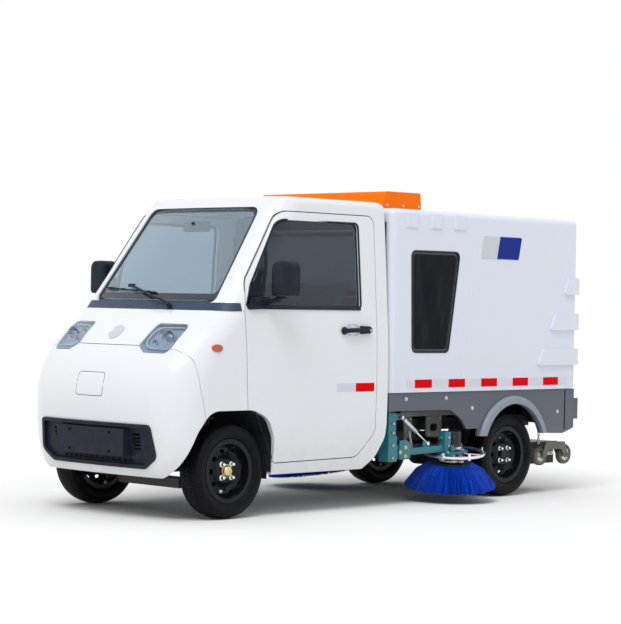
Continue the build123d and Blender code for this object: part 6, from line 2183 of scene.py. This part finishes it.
# ------------------------------------------------------------------ cabin
@dataclass(frozen=True)
class Cabin:
    """Seats, lining and driver's trim seen through the glass."""

    seat_x: float = 0.265
    seat_half_width: float = 0.2150
    voxel: float = 0.009
    pressure: float = 4.0
    travel: float = 0.024

    def build(self) -> None:
        """Makes the cabin's pieces."""
        self.seats()
        self.lining()
        self.wheel()
        self.details()

    def pad(self, name: str, low: Vector, high: Vector, crown: Vector) -> Thing:
        """A stuffed pad that swells inside a box.

        Args:
            name: The object's name.
            low: Lower corner of the room it may fill.
            high: Upper corner of it.
            crown: How far the pad starts inside the room on each axis.

        Returns:
            The finished pad.
        """
        shape = Shape().block(low + crown, high - crown, 0.030)
        mesh = bpy.data.meshes.new(name)
        shape.bm.to_mesh(mesh)
        shape.bm.free()
        mesh.materials.append(SEAT.material())
        thing = bpy.data.objects.new(name, mesh)
        bpy.context.scene.collection.objects.link(thing)
        remesh = thing.modifiers.new("remesh", "REMESH")
        remesh.mode = "VOXEL"
        remesh.voxel_size = self.voxel
        self.apply(thing)
        started = [vert.co.copy() for vert in thing.data.vertices]
        cloth = thing.modifiers.new("cloth", "CLOTH")
        cloth.settings.use_pressure = True
        cloth.settings.uniform_pressure_force = self.pressure
        cloth.settings.effector_weights.gravity = 0
        for frame_number in range(1, 21):
            bpy.context.scene.frame_set(frame_number)
        self.apply(thing)
        for vert, start in zip(thing.data.vertices, started):
            step = vert.co - start
            if step.length > self.travel:
                vert.co = start + step.normalized() * self.travel
        bpy.context.scene.frame_set(1)
        finer = thing.modifiers.new("finer", "SUBSURF")
        finer.levels = finer.render_levels = 1
        self.apply(thing)
        for vert in thing.data.vertices:
            for axis in range(3):
                vert.co[axis] = min(max(vert.co[axis], low[axis] + 0.001), high[axis] - 0.001)
        thing.data.shade_smooth()
        return thing

    def apply(self, thing: Thing) -> None:
        """Takes the modified mesh and drops the modifiers.

        Args:
            thing: The object.
        """
        seen = bpy.context.evaluated_depsgraph_get()
        mesh = bpy.data.meshes.new_from_object(thing.evaluated_get(seen))
        old = thing.data
        thing.modifiers.clear()
        thing.data = mesh
        bpy.data.meshes.remove(old)

    def seats(self) -> None:
        """Two seats with swelled cushions and backs, sewn along channels."""
        for node, crown, shares in (("seat_cushions", (0.012, 0.012, 0.014), (0.06, 0.2, 0.4, 0.6, 0.8, 0.94)),
                                    ("seat_backs", (0.012, 0.014, 0.012), (0.06, 0.25, 0.45, 0.65, 0.85, 0.95))):
            low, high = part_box(node)
            seam = Shape()
            for side in Side:
                centre_x = side.value * self.seat_x
                solid = Skin(node)
                label = f"{node}_{side.name.lower()}"
                thing = self.pad(label, Vector((centre_x - self.seat_half_width, low.y, low.z)),
                                 Vector((centre_x + self.seat_half_width, high.y, high.z)), Vector(crown))
                if node == "seat_backs":
                    self.recline(thing, solid, low, high)
                finished(thing, "vehicle", [node])
                surface = Skin(label)
                for x in (centre_x - 0.125, centre_x, centre_x + 0.125):
                    if node == "seat_cushions":
                        line = [surface.drop(Vector((x, low.y + (high.y - low.y) * share, high.z + 0.2)), -Z_AXIS)
                                for share in shares]
                    else:
                        line = [surface.drop(Vector((x, low.y - 0.3, low.z + (high.z - low.z) * share)), Y_AXIS)
                                for share in shares]
                    line = [point for point in line if point]
                    if len(line) > 2:
                        seam.tube(line, 0.0028)
            seam.show(f"{node}_piping", PIPING)

    def recline(self, thing: Thing, solid: Skin, low: Vector, high: Vector) -> None:
        """Shifts a back pad's levels so that they follow the leaning CAD back.

        Args:
            thing: The pad.
            solid: The CAD back's surface.
            low: Lower corner of the CAD backs.
            high: Upper corner of them.
        """
        centre_x = sum(vert.co.x for vert in thing.data.vertices) / len(thing.data.vertices)
        levels = []
        for step in range(13):
            z = low.z + (high.z - low.z) * (0.03 + 0.94 * step / 12)
            front = solid.drop(Vector((centre_x, low.y - 0.3, z)), Y_AXIS)
            back = solid.drop(Vector((centre_x, high.y + 0.3, z)), -Y_AXIS)
            if front and back:
                levels.append((z, front.y, back.y))
        depth = high.y - low.y
        for vert in thing.data.vertices:
            near = sorted(levels, key=lambda entry: abs(entry[0] - vert.co.z))[:2]
            first, second = sorted(near)
            share = min(max((vert.co.z - first[0]) / max(second[0] - first[0], 1e-6), 0), 1)
            front = first[1] + (second[1] - first[1]) * share
            back = first[2] + (second[2] - first[2]) * share
            vert.co.y = front + (back - front) * (vert.co.y - low.y) / depth

    def lining(self) -> None:
        """Pale lining on the inner rear wall and under the roof, and a floor mat."""
        skin = Skin("cab_shell")
        rear = Shape().sheet(rectangle((-0.555, 0.74), (0.555, 1.66), 0.05), facing_front(behind(0.80)), 0.08,
                             grown(rectangle(*REAR_PANE), 0.015))
        roof = Shape().sheet(rectangle((-0.46, behind(0.34)), (0.46, behind(1.08)), 0.05),
                             Matrix.Translation((0, 0, 1.50)), 0.06)
        floor = Shape().sheet(rectangle((-0.25, behind(0.16)), (0.25, behind(0.52)), 0.04),
                              Matrix.Translation((0, 0, 0.60)), 0.05)
        for name, sheet, way, lift, finish in (("rear_wall_lining", rear, Y_AXIS, 0.003, LINING),
                                               ("roof_lining", roof, Z_AXIS, 0.003, LINING),
                                               ("floor_mat", floor, -Z_AXIS, 0.006, MAT)):
            skin.lay(sheet, way, lift).raised(way * -0.004).show(name, finish)

    def wheel(self) -> None:
        """Hub pad of the steering wheel."""
        lean = math.radians(32)
        axis = Vector((0, -math.sin(lean), math.cos(lean)))
        centre = spot(self.seat_x, 0.330, 0.985)
        hub = Shape().turned(((0.052, 0.004), (0.050, 0.014), (0.040, 0.020), (0.0, 0.023)),
                             placed_at(centre, axis, X_AXIS), 40)
        hub.show("wheel_hub_pad", DASH, "steering_wheel")

    def details(self) -> None:
        """Pods, vents and inner mirror."""
        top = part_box("dashboard")[1].z
        pod = Shape().block(spot(0.150, 0.110, top - 0.004), spot(0.380, 0.180, top + 0.045), 0.012)
        pod.block(spot(-0.130, 0.150, top - 0.060), spot(0.090, 0.198, top + 0.030), 0.008)
        pod.show("dash_pods", DASH)
        skin = Skin("dashboard")
        vents = Shape()
        for x in (-0.46, -0.20, 0.46):
            hit = skin.drop(spot(x, 0.6, top - 0.065), -Y_AXIS)
            if hit:
                vents.block(hit + Vector((-0.045, -0.002, -0.020)), hit + Vector((0.045, 0.006, 0.020)), 0.003)
                for slat in range(3):
                    z = -0.012 + slat * 0.012
                    vents.block(hit + Vector((-0.038, 0.004, z - 0.002)),
                                hit + Vector((0.038, 0.009, z + 0.002)), 0.001)
        vents.show("dash_vents", BLACK)
        foot = Skin("cab_glass").drop(spot(0, -0.6, 1.560), Y_AXIS) or spot(0, 0.16, 1.56)
        mirror = Shape().block(foot + Vector((-0.105, 0.030, -0.030)), foot + Vector((0.105, 0.048, 0.030)), 0.010)
        mirror.rod(foot + Vector((0, 0.004, 0.022)), foot + Vector((0, 0.040, 0.0)), 0.008, None, 0.001)
        mirror.show("cab_mirror", BLACK)


# ------------------------------------------------------------------ underbody
@dataclass(frozen=True)
class Underbody:
    """Hangers, battery straps, mud flaps and lines below the box."""

    def build(self) -> None:
        """Makes the pieces under the truck."""
        self.liners()
        self.hangers()
        self.battery_straps()
        self.mud_flaps()
        self.gap_shade_plates()
        self.brake_hoses()

    def liners(self) -> None:
        """The arch liners, trimmed where the nose curves in."""
        part = Shape()
        part.bm.from_mesh(bpy.data.objects["arch_liners"].data)
        part.weld()
        for place, normal in (((0, 0, 0), (-1, 0, 0)), ((0.522, behind(-0.350), 0), (0.034, -0.071, 0))):
            everything = part.bm.verts[:] + part.bm.edges[:] + part.bm.faces[:]
            bmesh.ops.bisect_plane(part.bm, geom=everything, dist=1e-6, plane_co=place,
                                   plane_no=Vector(normal).normalized(), clear_outer=True)
        bmesh.ops.holes_fill(part.bm, edges=[edge for edge in part.bm.edges if edge.is_boundary])
        part.weld().show_pair("arch_liner", LINER_BLACK, "vehicle", ["arch_liners"])

    def hangers(self) -> None:
        """Pale rails and drop plates beside the frame rails."""
        shape = Shape().block(spot(0.330, 1.620, 0.488), spot(0.350, 2.150, 0.520), 0.003)
        oval = rectangle((behind(1.885), 0.395), (behind(1.955), 0.440), 0.0222)
        line = side_line(((1.850, 0.360), (1.990, 0.360), (1.990, 0.495), (1.850, 0.495)), [0.0222] * 4)
        shape.plate(line, facing_side(0.334), 0.008, 0.001, oval)
        line = side_line(((1.660, 0.360), (1.720, 0.372), (1.720, 0.495), (1.640, 0.495)), [0.01] * 4, 3)
        shape.plate(line, facing_side(0.334), 0.008, 0.001)
        shape.show_pair("hanger", HANGER_GREY)
        bolts = Shape()
        for distance, z in ((1.870, 0.475), (1.970, 0.475), (1.870, 0.380), (1.970, 0.380), (1.665, 0.475),
                            (1.700, 0.475), (1.690, 0.395)):
            bolts.bolt(spot(0.342, distance, z), X_AXIS * 0.008, 0.008)
        bolts.show_pair("hanger_bolts", STEEL)

    def battery_straps(self) -> None:
        """Steel straps and a seam on the battery case."""
        low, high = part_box("battery_pack")
        straps, seam = Shape(), Shape()
        for share in (0.25, 0.75):
            y = low.y + (high.y - low.y) * share
            straps.block((low.x - 0.003, y - 0.015, low.z - 0.003), (high.x + 0.003, y + 0.015, low.z), 0.001)
            for x, sign in ((low.x, -1), (high.x, 1)):
                straps.block((x - 0.001, y - 0.015, low.z - 0.003), (x + sign * 0.003, y + 0.015, high.z - 0.004), 0.0)
        straps.show("battery_straps", STEEL)
        line = rectangle((low.x - 0.002, low.y - 0.002), (high.x + 0.002, high.y + 0.002), 0.004)
        seam.plate(line, Matrix.Translation((0, 0, low.z + 0.11)), 0.012, 0.001, grown(line, -0.006))
        seam.show("battery_seam", RUBBER)

    def mud_flaps(self) -> None:
        """Rubber flaps behind the front wheels."""
        flap = Shape().block(spot(0.455, 0.2785, 0.200), spot(0.565, 0.2835, 0.250), 0.001)
        flap.show_pair("mud_flap", RUBBER)

    def gap_shade_plates(self) -> None:
        """Dark plates set in the gap between cab and box as painted shade for the gap."""
        front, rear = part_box("cab_shell")[1].y + 0.001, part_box("box_body")[0].y - 0.001
        # Painted shade: the black plates stand for the shade in the gap.
        shade_plate = Shape()
        for x in (0.545, 0.557, 0.569):
            shade_plate.block((x, front, 0.70), (x + 0.006, rear, 1.62), 0.001)
        shade_plate.show_pair("gap_shade_plates", RUBBER)

    def brake_hoses(self) -> None:
        """Brake hoses from the frame to the wheels."""
        hose = Shape().tube([spot(*place) for place in (
            (0.300, 0.060, 0.330), (0.340, 0.075, 0.318), (0.385, 0.062, 0.292), (0.415, 0.045, 0.268))], 0.0055)
        hose.show_pair("brake_hose", RUBBER)


# ------------------------------------------------------------------ studio
@dataclass(frozen=True)
class Studio:
    """Floor, sky, sun and camera."""

    camera_place: tuple = (8.5487, -8.9564, 1.1548)
    azimuth: float = 0.766079
    pitch: float = 0.004677
    roll: float = 0.019767
    lens: float = 121.16
    sun_energy: float = 1.34
    sun_from: tuple = (0.28, -0.50, 0.82)
    floor_tone: float = 0.80
    floor_seen: float = 0.87

    def build(self) -> None:
        """Makes the studio."""
        self.floor()
        self.sky()
        self.sun()
        self.camera()
        bpy.context.scene.view_settings.view_transform = "Standard"

    def floor(self) -> None:
        """A pale floor that keeps the truck's shadow."""
        shape = Shape()
        bmesh.ops.create_grid(shape.bm, x_segments=2, y_segments=2, size=400)
        mesh = bpy.data.meshes.new("studio_floor")
        shape.bm.to_mesh(mesh)
        material = bpy.data.materials.new("studio_floor_white")
        material.use_nodes = True
        bench = Bench(material.node_tree)
        shader = bench.start("OutputMaterial", "BsdfDiffuse")
        tone = bench.span(bench.seen(), 0.0, 1.0, self.floor_tone, self.floor_seen)
        level = bench.node("CombineColor", {0: tone, 1: tone, 2: tone}).outputs[0]
        bench.put(shader.inputs["Color"], level)
        mesh.materials.append(material)
        plane = bpy.data.objects.new("studio_floor", mesh)
        bpy.context.scene.collection.objects.link(plane)

    def sky(self) -> None:
        """White behind the truck, and a soft dome that lights it."""
        world = bpy.data.worlds.new("studio_sky")
        bpy.context.scene.world = world
        world.use_nodes = True
        bench = Bench(world.node_tree)
        shader = bench.start("OutputWorld", "Background")
        seen = bench.seen()
        height = bench.node("SeparateXYZ", {0: bench.node("TexCoord").outputs["Generated"]}).outputs[2]
        dome = bench.span(height, 0.0, 1.0, 0.45, 1.0)
        bench.put(shader.inputs["Strength"], bench.maths("MAXIMUM", seen, dome))
        bench.put(shader.inputs["Color"], (1.0, 1.0, 1.0))

    def sun(self) -> None:
        """A broad sun from the front."""
        light = bpy.data.lights.new("studio_sun", "SUN")
        light.energy = self.sun_energy
        light.angle = math.radians(30)
        thing = bpy.data.objects.new("studio_sun", light)
        thing.matrix_world = placed_at((0, 0, 4), Vector(self.sun_from), X_AXIS)
        bpy.context.scene.collection.objects.link(thing)

    def camera(self) -> None:
        """The still camera at the front left."""
        ahead = Vector((-math.sin(self.azimuth) * math.cos(self.pitch), math.cos(self.azimuth) * math.cos(self.pitch),
                        -math.sin(self.pitch)))
        level = Vector((math.cos(self.azimuth), math.sin(self.azimuth), 0))
        over = level.cross(ahead)
        side = level * math.cos(self.roll) + over * math.sin(self.roll)
        above = over * math.cos(self.roll) - level * math.sin(self.roll)
        data = bpy.data.cameras.new("studio_camera")
        data.lens = self.lens
        data.sensor_width = 36
        data.sensor_fit = "AUTO"
        data.clip_end = 1000
        thing = bpy.data.objects.new("studio_camera", data)
        thing.matrix_world = Matrix.Translation(self.camera_place) @ Matrix((side, above, -ahead)).transposed().to_4x4()
        bpy.context.scene.collection.objects.link(thing)
        bpy.context.scene.camera = thing


# ------------------------------------------------------------------ all together
def dress_nodes() -> None:
    """Puts the finishes on the CAD nodes that stay in sight."""
    for node, finish in NODE_FINISHES.items():
        thing = bpy.data.objects.get(node)
        if thing is None:
            continue
        for slot in thing.material_slots:
            slot.material = finish.material()


def main() -> None:
    """Dresses the truck and sets up the studio."""
    logging.basicConfig(level=logging.INFO, format="%(message)s")
    dress_nodes()
    log.info("finishes are on the CAD nodes")
    for end in ("front", "rear"):
        Wheel().build(end)
        log.info("%s wheels are dressed", end)
    for part in (CabFront(), DoorTrim(), BoxTrim(), BrushGear(), NozzleGear(), Cabin(), Underbody(), Studio()):
        part.build()
        log.info("%s is built", type(part).__name__)


if __name__ == "__main__":
    main()
